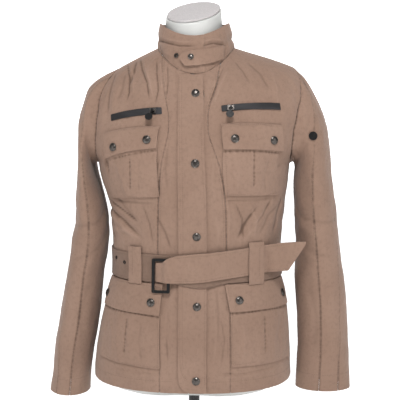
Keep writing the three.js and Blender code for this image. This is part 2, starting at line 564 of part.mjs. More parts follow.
// The stand collar's rings, from the neck seam to its top edge, with the crease that the tab
// pulls across it.
const COLLAR_RINGS = [
  { side: 650, front: 595, back: 660, half: 76, fore: 86, aft: 66, mid: 5, full: 2.1 },
  { side: 661, front: 615, back: 674, half: 75.5, fore: 86.5, aft: 68, mid: 4, full: 2.1 },
  { side: 667, front: 634, back: 682, half: 71, fore: 82.5, aft: 67, mid: 3, full: 2.1 },
  { side: 677, front: 648, back: 691, half: 73.5, fore: 80.5, aft: 69.5, mid: 3, full: 2.1 },
  { side: 698, front: 667, back: 706, half: 68, fore: 74.5, aft: 67, mid: 2, full: 2.1 },
];
const COLLAR_LAST = COLLAR_RINGS.length - 1;
const collarPoint = (ring, angle) => ringPoint(smoothRow(COLLAR_RINGS, ring), angle);
const collarNormal = (ring, angle) => normalOf(collarPoint, ring, angle, COLLAR_LAST);
{
  // The collar has the panels' own columns, and its ends meet where the left front's third is.
  const starts = PANELS.flatMap((panel) =>
    panelAngles(NECK_SEAM, panel.from, panel.to, panel.shares, 0).slice(0, -1));
  const behind = backAngles(NECK_SEAM, 0).map((angle) => (angle > Math.PI ? angle - 2 * Math.PI : angle));
  const ring = [...starts, ...behind.slice(0, -1)];
  const split = PANELS[0].shares.length - 1 + PANELS[1].shares.length - 1 + 2;
  const angles = [...ring.slice(split), ...ring.slice(0, split + 1)];
  const trim = SEAM_GAP / 2 / COLLAR_RINGS[0].fore;
  angles[0] += trim;
  angles[angles.length - 1] -= trim;
  const upwards = (angle) =>
    torsoBase(NECK_SEAM, angle).sub(torsoBase(NECK_SEAM - 0.1, angle)).normalize();
  const start = seamStart(
    angles.map((angle) => torsoPoint(NECK_SEAM, angle)),
    angles.map((angle) => torsoNormal(NECK_SEAM, angle)),
    angles.map(upwards),
    angles.map((angle) => collarNormal(0.5, angle)),
  );
  const outer = [start.outer];
  const inner = [start.inner];
  for (const place of [1, 2, 3, COLLAR_LAST]) {
    const row = angles.map((angle) => collarPoint(place, angle));
    outer.push(row);
    inner.push(row.map((p, c) => p.clone().addScaledVector(collarNormal(place, angles[c]), -CLOTH)));
  }
  add(jacket, "collar", wall(outer, inner), CANVAS);
}

// The collar tab, from its pointed end to where it is sewn down: its edges' heights at each place.
const TAB_STATIONS = [
  { x: -21, low: 621, high: 628 },
  { x: -12, low: 610, high: 639 },
  { x: 4, low: 610, high: 640 },
  { x: 20, low: 612, high: 641 },
  { x: 38, low: 616, high: 644 },
  { x: 48, low: 620, high: 646.5 },
  { x: 57, low: 624, high: 649 },
];
const TAB_LIFT = 1.5;
function onCollar(x, height, lift) {
  const angleOn = (ring) => angleAtX(ring, x, COLLAR_RINGS);
  const ring = ringAtHeight(height, angleOn, collarPoint, COLLAR_LAST);
  const normal = collarNormal(ring, angleOn(ring));
  return { point: collarPoint(ring, angleOn(ring)).addScaledVector(normal, lift), normal };
}
{
  const grid = (lift) => [0, 0.5, 1].map((share) =>
    TAB_STATIONS.map((at) => onCollar(at.x, THREE.MathUtils.lerp(at.low, at.high, share), lift).point));
  add(jacket, "collar_tab", wall(grid(TAB_LIFT + DOUBLE_CLOTH), grid(TAB_LIFT)), CANVAS);
}

// A place on the front, given by its distance from the centre line or its share of half a ring.
const halfLength = (ring) => halfRing(ring)[HALF_RING_STEPS];
function shareOfX(x, height) {
  const ring = ringAtHeight(height, (r) => angleAtX(r, x));
  return lengthAt(ring, angleAtX(ring, x)) / halfLength(ring);
}
function onTorso(share, height, lift) {
  const angleOn = (ring) => angleAt(ring, share * halfLength(ring));
  const ring = ringAtHeight(height, angleOn);
  const normal = torsoNormal(ring, angleOn(ring));
  return { point: torsoPoint(ring, angleOn(ring)).addScaledVector(normal, lift), normal };
}

// Cloth laid on the front between four corners. bow raises the middle of its upper and lower
// edges, and lift gives its height over the panel at each share across and upwards.
function frontPatch(name, patch, look = CANVAS) {
  const shares = {};
  for (const corner of ["lowerRight", "lowerLeft", "upperRight", "upperLeft"])
    shares[corner] = shareOfX(patch[corner].x, patch[corner].z);
  const place = (u, w, over) => {
    const low = THREE.MathUtils.lerp(patch.lowerRight.z, patch.lowerLeft.z, u);
    const high = THREE.MathUtils.lerp(patch.upperRight.z, patch.upperLeft.z, u);
    const height = THREE.MathUtils.lerp(low, high, w) + 4 * (patch.bow ?? 0) * u * (1 - u);
    const share = THREE.MathUtils.lerp(
      THREE.MathUtils.lerp(shares.lowerRight, shares.lowerLeft, u),
      THREE.MathUtils.lerp(shares.upperRight, shares.upperLeft, u), w);
    return onTorso(share, height, patch.lift(u, w) + over).point;
  };
  const grid = (over) => patch.rows.map((w) => patch.columns.map((u) => place(u, w, over)));
  add(jacket, name, wall(grid(patch.thick), grid(0)), look);
}

// The placket over the centre front, with its lower outer corner rounded.
const PLACKET = { right: -23, leftTop: 22, leftLow: 30, low: 2, high: 592, corner: 26 };
{
  const heights = [PLACKET.low, 6, 14, 28, 64, 103, 145, 180, 207, 233, 262, 300, 350, 390, 424, 455, 483,
    510, 536, 560, 576, PLACKET.high];
  const edge = (height) => {
    const below = Math.max(0, PLACKET.corner - (height - PLACKET.low)) / PLACKET.corner;
    return PLACKET.right + PLACKET.corner * (1 - Math.sqrt(1 - below * below)) * 0.8;
  };
  const far = (height) => THREE.MathUtils.mapLinear(Math.max(height, 340), 340, PLACKET.high,
    PLACKET.leftLow, PLACKET.leftTop);
  const grid = (lift) => heights.map((height) => [0, 0.33, 0.67, 1].map((u) => {
    const x = THREE.MathUtils.lerp(edge(height), far(height), u);
    return onTorso(shareOfX(x, height), height, lift).point;
  }));
  add(jacket, "placket", wall(grid(LAY + DOUBLE_CLOTH), grid(LAY)), CANVAS);
}

// Bellows pockets with a box pleat, and the flaps that button over them.
const PLEAT_COLUMNS = [0, 0.06, 0.22, 0.36, 0.4, 0.6, 0.64, 0.78, 0.94, 1];
const POCKET_ROWS = [0, 0.06, 0.2, 0.4, 0.62, 0.8, 1];
const PLEAT_RISE = 0.8;
const pocketLift = (bulge) => (u, w) => {
  const fill = bulge * Math.sin(Math.PI * u) * Math.sin(Math.PI * Math.min(w / 0.8, 1));
  const pleat = u > 0.38 && u < 0.62 && w > 0.02 ? PLEAT_RISE : 0;
  return LAY + Math.max(0, fill) + pleat;
};
const FLAP_LIFT = LAY + CLOTH + PLEAT_RISE + 0.7;
const flapLift = (top) => (u, w) =>
  THREE.MathUtils.lerp(LAY, FLAP_LIFT, THREE.MathUtils.clamp((1 - w) / top, 0, 1));
const POCKETS = [
  { name: "right_chest_pocket", bulge: 3, lowerRight: { x: -151, z: 363 }, lowerLeft: { x: -57, z: 369 },
    upperRight: { x: -153, z: 459 }, upperLeft: { x: -59, z: 474 } },
  { name: "left_chest_pocket", bulge: 3, lowerRight: { x: 64, z: 372 }, lowerLeft: { x: 163, z: 369 },
    upperRight: { x: 60, z: 475 }, upperLeft: { x: 163, z: 473 } },
  { name: "right_hip_pocket", bulge: 4, lowerRight: { x: -178, z: 52 }, lowerLeft: { x: -57, z: 45 },
    upperRight: { x: -166, z: 172 }, upperLeft: { x: -57, z: 170 } },
  { name: "left_hip_pocket", bulge: 4, lowerRight: { x: 77, z: 50 }, lowerLeft: { x: 188, z: 49 },
    upperRight: { x: 72, z: 174 }, upperLeft: { x: 176, z: 174 } },
];
for (const pocket of POCKETS)
  frontPatch(pocket.name, { ...pocket, columns: PLEAT_COLUMNS, rows: POCKET_ROWS, thick: CLOTH,
    lift: pocketLift(pocket.bulge) });

const FLAPS = [
  { name: "right_chest_flap", bow: 3.5, slope: 0.1, rows: [0, 0.45, 0.89, 1], snaps: [-142.7, -79.2],
    snapHeights: [459.7, 473.2], lowerRight: { x: -160, z: 438 }, lowerLeft: { x: -61, z: 458 },
    upperRight: { x: -163, z: 486 }, upperLeft: { x: -56, z: 498 } },
  { name: "left_chest_flap", bow: 2, slope: 0.1, rows: [0, 0.45, 0.89, 1], snaps: [80.7, 151],
    snapHeights: [475.6, 472.6], lowerRight: { x: 60, z: 456 }, lowerLeft: { x: 171, z: 452 },
    upperRight: { x: 56, z: 503 }, upperLeft: { x: 167, z: 501 } },
  { name: "right_hip_flap", bow: 0, slope: 0.36, rows: [0, 0.3, 0.62, 0.78, 1], snaps: [-163, -73.8],
    snapHeights: [170.5, 167.6], lowerRight: { x: -170, z: 149 }, lowerLeft: { x: -58, z: 145 },
    upperRight: { x: -160, z: 203 }, upperLeft: { x: -52, z: 203 } },
  { name: "left_hip_flap", bow: 1, slope: 0.36, rows: [0, 0.3, 0.62, 0.78, 1], snaps: [89.8, 171],
    snapHeights: [173, 174], lowerRight: { x: 73, z: 152 }, lowerLeft: { x: 182, z: 151 },
    upperRight: { x: 64, z: 203 }, upperLeft: { x: 173, z: 203 } },
];
for (const flap of FLAPS)
  frontPatch(flap.name, { ...flap, columns: evenly(8), thick: CLOTH, lift: flapLift(flap.slope) });

// The belt round the waist. It sags a little where its free end lies over it, and it stands
// clear of the placket.
const BELT_COLUMNS = 56;
const BELT_SAG = { depth: 11, centre: 15, spread: 34 };
const BELT_LIFT = 1.2;
const PLACKET_TOP = LAY + DOUBLE_CLOTH;
function beltLift(x) {
  const away = THREE.MathUtils.smoothstep(Math.abs(x - 3.5), 31, 46);
  return THREE.MathUtils.lerp(PLACKET_TOP + 0.7, BELT_LIFT, away);
}
{
  const grid = (over) => [0, 0.5, 1].map((w) => Array.from({ length: BELT_COLUMNS }, (_, i) => {
    const share = (2 * i) / BELT_COLUMNS - 1;
    const guide = onTorso(share, 232, 0).point;
    const sag = guide.y < 0 ? Math.exp(-(((guide.x - BELT_SAG.centre) / BELT_SAG.spread) ** 2)) : 0;
    const height = THREE.MathUtils.lerp(BELT_LOW, BELT_HIGH, w) - BELT_SAG.depth * sag;
    const lift = guide.y < 0 ? beltLift(guide.x) : BELT_LIFT;
    return onTorso(share, height, lift + over).point;
  }));
  add(jacket, "belt", wall(grid(BELT_THICK), grid(0), true), CANVAS);
}

// The belt's free end: it comes up through the buckle, runs over the belt to the left loop and
// stands out beyond it. lift is its height over the front, and reach, where it is free of the
// front, how far forward it stands.
const BELT_END = [
  { x: -65, low: 207, high: 243, lift: 4 },
  { x: -56, low: 206, high: 244, lift: 4.2 },
  { x: -51, low: 206, high: 244.5, lift: 7.2 },
  { x: -46, low: 205, high: 252, lift: 11.6 },
  { x: -35, low: 205, high: 257, lift: 11 },
  { x: -27, low: 205, high: 259, lift: 8.4 },
  { x: -10, low: 205, high: 261, lift: 7.6 },
  { x: 10, low: 206, high: 263, lift: 7.4 },
  { x: 30, low: 208, high: 264, lift: 7.4 },
  { x: 52, low: 212, high: 267, lift: 7 },
  { x: 76, low: 215, high: 269, lift: 4.8 },
  { x: 95, low: 217, high: 271, lift: 4.5 },
  { x: 112, low: 219, high: 273, lift: 4.5 },
  { x: 126, low: 220.5, high: 274.5, lift: 4.5 },
  { x: 140, low: 222, high: 275.5, lift: 4.6 },
  { x: 156, low: 223, high: 277, reach: 88 },
  { x: 172, low: 224, high: 278.5, reach: 85.5 },
  { x: 184, low: 224.5, high: 279, reach: 83 },
  { x: 200, low: 248, high: 279.5, reach: 80 },
  { x: 217, low: 274, high: 279.5, reach: 76.5 },
];
{
  const middle = BELT_END.map((at) => (at.reach === undefined
    ? onTorso(shareOfX(at.x, (at.low + at.high) / 2), (at.low + at.high) / 2, at.lift).point
    : new THREE.Vector3(at.x, -at.reach, 0)));
  const facing = middle.map((_, i) => {
    const before = middle[Math.max(i - 1, 0)];
    const after = middle[Math.min(i + 1, middle.length - 1)];
    return new THREE.Vector3(after.y - before.y, before.x - after.x, 0).normalize();
  });
  const grid = (over) => [0, 0.5, 1].map((w) => BELT_END.map((at, i) => {
    const height = THREE.MathUtils.lerp(at.low, at.high, w);
    if (at.reach === undefined) return onTorso(shareOfX(at.x, height), height, at.lift + over).point;
    return new THREE.Vector3(at.x, -at.reach, height).addScaledVector(facing[i], over);
  }));
  add(jacket, "belt_end", wall(grid(BELT_THICK), grid(0)), CANVAS);
}

// Belt loops, sewn down above and below the belt.
const BELT_LOOPS = [
  { name: "right_belt_loop", right: -118.5, left: -93, low: 200, high: 272, over: 4.3 },
  { name: "left_belt_loop", right: 107, left: 134, low: 200, high: 282, over: 7.6 },
];
for (const loop of BELT_LOOPS) {
  const corner = (x, z) => ({ x, z });
  frontPatch(loop.name, { rows: [0, 0.07, 0.5, 0.9, 1], columns: [0, 0.33, 0.67, 1], thick: CLOTH,
    lowerRight: corner(loop.right, loop.low), lowerLeft: corner(loop.left, loop.low),
    upperRight: corner(loop.right, loop.high), upperLeft: corner(loop.left, loop.high),
    lift: (u, w) => (w < 0.01 ? LAY + CLOTH + 1.2 : w > 0.99 ? LAY : loop.over) });
}

// A group that stands on a surface: its X runs to the wearer's left, its Z up and its -Y out.
function seat(place, up = new THREE.Vector3(0, 0, 1)) {
  const group = new THREE.Group();
  const inward = place.normal.clone().negate();
  const across = inward.clone().cross(up).normalize();
  const upright = across.clone().cross(inward).normalize();
  group.matrixAutoUpdate = false;
  group.matrix.makeBasis(across, inward, upright).setPosition(place.point);
  jacket.add(group);
  return group;
}
const onFront = (x, z, lift) => onTorso(shareOfX(x, z), z, lift);

// A turned piece whose axis points out of the surface: the profile has a radius and a height.
function turned(profile, steps = 12) {
  const geometry = new THREE.LatheGeometry(profile.map(([r, h]) => new THREE.Vector2(r, h)), steps);
  return geometry.rotateX(Math.PI);
}
const snapCap = (diameter) => {
  const r = diameter / 2;
  return turned([[0, 0], [r, 0], [r, 0.8], [0.86 * r, 2], [0.5 * r, 2.9], [0, 3.2]]);
};
const SNAPS = [
  { name: "placket_snap_1", x: 8.6, z: 558, lift: PLACKET_TOP },
  { name: "placket_snap_2", x: 9.3, z: 431, lift: PLACKET_TOP },
  { name: "placket_snap_3", x: 11.3, z: 295, lift: PLACKET_TOP },
  { name: "placket_snap_4", x: 12, z: 162.5, lift: PLACKET_TOP },
  { name: "placket_snap_5", x: 10.8, z: 25, lift: PLACKET_TOP },
];
for (const flap of FLAPS)
  flap.snaps.forEach((x, i) => {
    const name = `${flap.name.replace("flap", "snap")}_${i + 1}`;
    SNAPS.push({ name, x, z: flap.snapHeights[i], lift: FLAP_LIFT + CLOTH });
  });
for (const snap of SNAPS)
  add(seat(onFront(snap.x, snap.z, snap.lift + 0.45)), snap.name, snapCap(SNAP_DIAMETER), NICKEL);
add(seat(onCollar(-1, 626, TAB_LIFT + DOUBLE_CLOTH + 0.4)), "collar_tab_snap", snapCap(11), NICKEL);
add(seat(onCollar(-29, 630, -0.2)), "collar_stud",
  turned([[1.6, 0], [4.6, 0], [4.6, 1], [3.6, 1.8], [1.6, 1.8], [1.6, 0]]), NICKEL);

// Eyelets in the belt.
const EYELETS = [{ name: "belt_eyelet_1", x: -145, z: 244 }, { name: "belt_eyelet_2", x: -127, z: 238 }];
for (const eyelet of EYELETS)
  add(seat(onFront(eyelet.x, eyelet.z, BELT_LIFT + BELT_THICK + 0.5)), eyelet.name,
    turned([[1.7, 0], [3.4, 0], [3.4, 0.5], [2.6, 0.9], [1.7, 0.7], [1.7, 0]], 12), BLACK_METAL);

// The belt buckle, a plain square frame that leans out at its lower end over the hip flap.
const BUCKLE = { x: -55, low: 186, high: 252, width: 35, bar: 5.5, thick: 2.5, liftLow: 6.3, liftHigh: 4.6 };
{
  const low = onFront(BUCKLE.x, BUCKLE.low, BUCKLE.liftLow).point;
  const high = onFront(BUCKLE.x, BUCKLE.high, BUCKLE.liftHigh).point;
  const height = high.distanceTo(low);
  const up = high.clone().sub(low).normalize();
  const middle = (BUCKLE.low + BUCKLE.high) / 2;
  const [right, left] = [-0.5, 0.5].map((share) =>
    onFront(BUCKLE.x + share * BUCKLE.width, middle, 0).point);
  const normal = left.sub(right).cross(up).normalize();
  const point = low.add(high).multiplyScalar(0.5);
  const outline = new THREE.Shape();
  const rectangle = (path, w, h, c) => {
    const corners = [
      [w - c, -h], [w, c - h], [w, h - c], [w - c, h], [c - w, h], [-w, h - c], [-w, c - h], [c - w, -h],
    ];
    corners.forEach(([x, y], i) => (i === 0 ? path.moveTo(x, y) : path.lineTo(x, y)));
    path.closePath();
  };
  rectangle(outline, BUCKLE.width / 2, height / 2, 2);
  const hole = new THREE.Path();
  rectangle(hole, BUCKLE.width / 2 - BUCKLE.bar, height / 2 - BUCKLE.bar, 0.8);
  outline.holes.push(hole);
  const frame = new THREE.ExtrudeGeometry(outline, { depth: BUCKLE.thick, bevelEnabled: false });
  frame.rotateX(Math.PI / 2);
  add(seat({ point, normal }, up), "belt_buckle", frame, BLACK_METAL);
}

// Overlapping geometries joined into one closed body.
function joined(geometries) {
  const solids = geometries.map((geometry) => {
    const loose = geometry.index ? geometry.toNonIndexed() : geometry;
    const bare = new THREE.BufferGeometry().setAttribute("position", loose.getAttribute("position"));
    const welded = mergeVertices(bare, 1e-4);
    return new wasm.Manifold(new wasm.Mesh({
      numProp: 3,
      vertProperties: welded.getAttribute("position").array,
      triVerts: new Uint32Array(welded.index.array),
    }));
  });
  const mesh = wasm.Manifold.union(solids).getMesh();
  const geometry = new THREE.BufferGeometry();
  geometry.setAttribute("position", new THREE.BufferAttribute(new Float32Array(mesh.vertProperties), 3));
  geometry.setIndex(new THREE.BufferAttribute(new Uint32Array(mesh.triVerts), 1));
  return geometry;
}

// The chest zips: each a tape in the side front, a slider with a bridge, and a round pull that
// hangs by an eye from the bridge and swings up and outwards.
const TAPE_LIFT = 0.6;
const TAPE_THICK = 1;
const BRIDGE = { inner: 3.2, outer: 4.5, low: 5.2, high: 6.2, width: 2.4 };
const EYE = { inner: 1.75, outer: 2.8, width: 3.6 };
const PULL = { drop: 15.4, radius: 7.2, thick: 1.6, stem: 1.3 };
const BRIDGE_AXIS = (BRIDGE.low + BRIDGE.high) / 2;
const PULL_TILT = Math.atan((TAPE_LIFT + TAPE_THICK + 0.3 + BRIDGE_AXIS - PULL.thick / 2 - 0.5)
  / (PULL.drop + PULL.radius));
const ZIPS = [
  { label: "right", bow: 3, lean: 18, slider: { x: -69.7, z: 526.4 }, lowerRight: { x: -150, z: 508 },
    lowerLeft: { x: -53, z: 520.5 }, upperRight: { x: -151, z: 520 }, upperLeft: { x: -54, z: 533 } },
  { label: "left", bow: 2.5, lean: 8, slider: { x: 73.2, z: 532 }, lowerRight: { x: 57, z: 525 },
    lowerLeft: { x: 166, z: 528.5 }, upperRight: { x: 56, z: 536 }, upperLeft: { x: 164, z: 541 } },
];
function sliderGeometry() {
  const body = new THREE.BoxGeometry(12, 2.2, 9).translate(0, -1.1, 0);
  const arch = new THREE.Shape();
  const outline = [[-BRIDGE.outer, -2], [-BRIDGE.outer, -BRIDGE.high], [BRIDGE.outer, -BRIDGE.high],
    [BRIDGE.outer, -2], [BRIDGE.inner, -2], [BRIDGE.inner, -BRIDGE.low], [-BRIDGE.inner, -BRIDGE.low],
    [-BRIDGE.inner, -2]];
  outline.forEach(([x, y], i) => (i === 0 ? arch.moveTo(x, y) : arch.lineTo(x, y)));
  arch.closePath();
  const bridge = new THREE.ExtrudeGeometry(arch, { depth: BRIDGE.width, bevelEnabled: false });
  return joined([body, bridge.translate(0, 0, -BRIDGE.width / 2)]);
}
function pullGeometry(lean) {
  const ring = new THREE.Shape().absarc(0, 0, EYE.outer, 0, 2 * Math.PI);
  ring.holes.push(new THREE.Path().absarc(0, 0, EYE.inner, 0, 2 * Math.PI, true));
  const eye = new THREE.ExtrudeGeometry(ring, { depth: EYE.width, bevelEnabled: false, curveSegments: 6 });
  eye.translate(0, 0, -EYE.width / 2).rotateY(Math.PI / 2);
  const from = EYE.inner + 0.5;
  const stem = new THREE.BoxGeometry(3, PULL.stem, PULL.drop - from);
  const turn = THREE.MathUtils.degToRad(lean);
  stem.translate(0, 0, -(PULL.drop + from) / 2).rotateY(turn);
  const disc = new THREE.CylinderGeometry(PULL.radius, PULL.radius, PULL.thick, 20);
  disc.translate(0, 0, -PULL.drop).rotateY(turn);
  return joined([eye, stem, disc]);
}
for (const zip of ZIPS) {
  frontPatch(`${zip.label}_zip_tape`, { ...zip, rows: [0, 1], columns: evenly(7), thick: TAPE_THICK,
    lift: () => TAPE_LIFT }, BLACK_TAPE);
  const base = seat(onFront(zip.slider.x, zip.slider.z, TAPE_LIFT + TAPE_THICK + 0.35));
  add(base, `${zip.label}_zip_slider`, sliderGeometry(), NICKEL);
  const pull = pullGeometry(zip.lean).rotateX(-PULL_TILT).translate(0, -BRIDGE_AXIS, 0);
  add(base, `${zip.label}_zip_pull`, pull, BLACK_METAL);
}

// The plain black disc on the left sleeve, at the place on the sleeve nearest to its centre.
{
  const target = new THREE.Vector3(228.8, -69, 480.5);
  let best = { away: Infinity };
  for (let ring = 3; ring < 9; ring += 0.1)
    for (let column = 2; column < 12; column += 0.1) {
      const point = leftSleeve.cloth(ring, column);
      const away = Math.hypot(point.x - target.x, point.z - target.z) + (point.y > -20 ? 999 : 0);
      if (away < best.away) best = { away, point, normal: leftSleeve.normal(ring, column) };
    }
  const place = { point: best.point.clone().addScaledVector(best.normal, 1.6), normal: best.normal };
  const disc = turned([[0, 0], [8.3, 0], [8.3, 1], [7.6, 1.5], [0, 1.5]], 18);
  add(seat(place), "left_sleeve_disc", disc, BLACK_METAL);
}

// The dress form under the cloth: a shell whose rings follow the jacket's, taken in by its ease,
// a bare neck, and a slanting top.
const FORM_BOTTOM = [
  { height: -20, inset: 14 },
  { height: -12, inset: 4 },
  { height: -2, inset: 0 },
];
const FORM_SEGMENTS = 36;
const CAP_THICK = 5;
const NECK_CENTRE = -8;
const formAngles = Array.from({ length: FORM_SEGMENTS }, (_, i) => (2 * Math.PI * i) / FORM_SEGMENTS);
const formRing = (ring) => {
  const row = smoothRow(TORSO_RINGS, ring);
  const slim = { ...row, half: row.half - row.cap };
  return formAngles.map((angle) => {
    const point = ringPoint(slim, angle);
    return point.addScaledVector(torsoNormal(ring, angle), -(row.ease + CLOTH));
  });
};
{
  const bottom = FORM_BOTTOM.map((at) => formRing(0).map((p) => {
    const share = 1 - at.inset / Math.hypot(p.x, p.y);
    return new THREE.Vector3(p.x * share, p.y * share, at.height);
  }));
  const body = [];
  for (let ring = 2; ring <= NECK_SEAM; ring += ring < ARMPIT ? 2 : 1) body.push(formRing(ring));
  const across = Math.tan(CAP_ROLL);
  const ahead = Math.tan(CAP_TILT);
  const topHeight = (x, y, low) => 716 - low + across * x + ahead * (y - NECK_CENTRE);
  const neckRing = (radius, low, share) => formAngles.map((angle, i) => {
    const x = radius * Math.sin(angle);
    const y = NECK_CENTRE - radius * Math.cos(angle);
    const base = body[body.length - 1][i];
    return new THREE.Vector3(x, y, THREE.MathUtils.lerp(base.z, topHeight(x, y, low), share));
  });
  const neck = [0.3, 0.65, 1].map((share) => neckRing(NECK_RADIUS + 5 * (1 - share), 0, share));
  neck.push(neckRing(NECK_RADIUS - 1.5, -1.2, 1));
  add(jacket, "form_torso", loft([...bottom, ...body, ...neck]), WHITE_SHELL);
  const cap = [neckRing(NECK_RADIUS - 2.5, -1.5, 1), neckRing(NECK_RADIUS - 2, -CAP_THICK, 1),
    neckRing(NECK_RADIUS - 5, -CAP_THICK - 1.5, 1)];
  add(jacket, "form_neck_cap", loft(cap), GREY_CAP);
}

// The pole and its round base.
{
  const top = HEM_HEIGHT + FORM_BOTTOM[0].height - 0.3;
  const low = BASE_THICK + 0.3;
  const pole = new THREE.CylinderGeometry(POLE_DIAMETER / 2, POLE_DIAMETER / 2, top - low, 24);
  add(stand, "stand_pole", pole.rotateX(Math.PI / 2).translate(0, 0, (top + low) / 2), BLACK_METAL);
  const r = BASE_DIAMETER / 2;
  const side = [[0, 0], [r, 0], [r, BASE_THICK - 3], [r - 3, BASE_THICK], [0, BASE_THICK]];
  const plate = new THREE.LatheGeometry(side.map(([x, y]) => new THREE.Vector2(x, y)), 40);
  add(stand, "stand_base", plate.rotateX(Math.PI / 2), BLACK_METAL);
}

const root = new THREE.Group();
root.add(jacket, stand);
export default root;
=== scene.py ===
import math

import bmesh
import bpy
import numpy as np
from mathutils import Matrix, Vector
from mathutils.bvhtree import BVHTree


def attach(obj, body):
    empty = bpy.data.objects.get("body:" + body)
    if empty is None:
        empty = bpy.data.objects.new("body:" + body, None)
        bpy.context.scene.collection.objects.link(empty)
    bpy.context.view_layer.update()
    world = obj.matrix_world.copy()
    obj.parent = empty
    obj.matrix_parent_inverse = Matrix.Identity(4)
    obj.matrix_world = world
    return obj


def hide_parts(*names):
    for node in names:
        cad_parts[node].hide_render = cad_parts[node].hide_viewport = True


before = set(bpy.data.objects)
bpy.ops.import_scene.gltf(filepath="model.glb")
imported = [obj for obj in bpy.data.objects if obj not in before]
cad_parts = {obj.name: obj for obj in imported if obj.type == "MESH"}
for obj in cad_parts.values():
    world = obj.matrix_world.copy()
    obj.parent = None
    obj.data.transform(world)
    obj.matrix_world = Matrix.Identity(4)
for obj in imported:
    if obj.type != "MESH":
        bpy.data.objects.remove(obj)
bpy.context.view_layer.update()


# The camera stands 1.5 m in front of the form, a little to the wearer's left and at chest
# height, and looks slightly down.
bpy.ops.object.camera_add()
camera = bpy.context.object
camera.name = "camera"
camera.data.sensor_width = 36
camera.data.lens = 67.5
camera.data.clip_end = 50
CAMERA_TURN = math.radians(3)
camera.location = (1.5 * math.sin(CAMERA_TURN), -1.5 * math.cos(CAMERA_TURN), 0.695)
camera.rotation_euler = (math.radians(90 - 6.09), 0, CAMERA_TURN - math.radians(0.46))
bpy.context.scene.camera = camera
bpy.context.scene.view_settings.view_transform = "Standard"


# The front panels are matt cotton twill, garment washed, so that the dye has worn a little
# along every edge and fold. The troughs of the folds and the sewn seams are darkened with
# painted shade. They are sewn to each other along shaped princess seams.
class Socket:
    """A value in a material's node tree, which Python's operators work on."""

    def __init__(self, tree, socket):
        self.tree = tree
        self.socket = socket

    def math(self, operation, *others):
        node = self.tree.nodes.new("ShaderNodeMath")
        node.operation = operation
        for socket, value in zip(node.inputs, (self, *others)):
            if isinstance(value, Socket):
                self.tree.links.new(value.socket, socket)
            else:
                socket.default_value = value
        return Socket(self.tree, node.outputs[0])

    def __add__(self, other):
        return self.math("ADD", other)

    __radd__ = __add__

    def __mul__(self, other):
        return self.math("MULTIPLY", other)

    __rmul__ = __mul__

    def __sub__(self, other):
        return self.math("SUBTRACT", other)

    def __rsub__(self, other):
        return (self * -1) + other

    def __pow__(self, other):
        return self.math("POWER", other)

    def above(self, low, high):
        """0 below low and 1 above high, with a smooth step between."""
        node = self.tree.nodes.new("ShaderNodeMapRange")
        node.interpolation_type = "SMOOTHSTEP"
        node.inputs["From Min"].default_value = low
        node.inputs["From Max"].default_value = high
        self.tree.links.new(self.socket, node.inputs["Value"])
        return Socket(self.tree, node.outputs[0])


class Finish:
    """A material for one slot of the part, with its shader's sockets by name."""

    def __init__(self, name, **constants):
        self.material = bpy.data.materials.new(name)
        self.material.use_nodes = True
        self.tree = self.material.node_tree
        self.shader = self.tree.nodes["Principled BSDF"]
        for socket, value in constants.items():
            self.shader.inputs[socket.replace("_", " ")].default_value = value
        place = self.node("ShaderNodeTexCoord")
        self.place = Socket(self.tree, place.outputs["Object"])

    def node(self, kind, settings=(), **sockets):
        node = self.tree.nodes.new(kind)
        for key, value in dict(settings).items():
            setattr(node, key, value)
        for name, value in sockets.items():
            socket = node.inputs[name.replace("_", " ")]
            if isinstance(value, Socket):
                self.tree.links.new(value.socket, socket)
            else:
                socket.default_value = value
        return node

    def noise(self, scale, detail=3.0, roughness=0.55, where=None, stretch=(1, 1, 1)):
        vector = where or self.place
        if stretch != (1, 1, 1):
            mapped = self.node("ShaderNodeMapping", Vector=vector, Scale=stretch)
            vector = Socket(self.tree, mapped.outputs[0])
        node = self.node("ShaderNodeTexNoise", Vector=vector, Scale=scale, Detail=detail, Roughness=roughness)
        return Socket(self.tree, node.outputs[0])

    def blend(self, amount, first, second, mode="MIX"):
        node = self.node("ShaderNodeMix", {"data_type": "RGBA", "blend_type": mode})
        for socket, value in zip((node.inputs[0], node.inputs[6], node.inputs[7]), (amount, first, second)):
            if isinstance(value, Socket):
                self.tree.links.new(value.socket, socket)
            else:
                socket.default_value = value if isinstance(value, (int, float)) else (*value, 1)
        return Socket(self.tree, node.outputs[2])

    def drive(self, **sockets):
        for name, value in sockets.items():
            self.tree.links.new(value.socket, self.shader.inputs[name.replace("_", " ")])

    def bump(self, height, distance, strength=1.0):
        node = self.node("ShaderNodeBump", Height=height, Distance=distance, Strength=strength)
        self.drive(Normal=Socket(self.tree, node.outputs[0]))


CANVAS = (0.232, 0.147, 0.107)
CANVAS_FADED = (0.33, 0.222, 0.17)
CANVAS_GRAIN_AND_SHADE = (0.075, 0.042, 0.028)


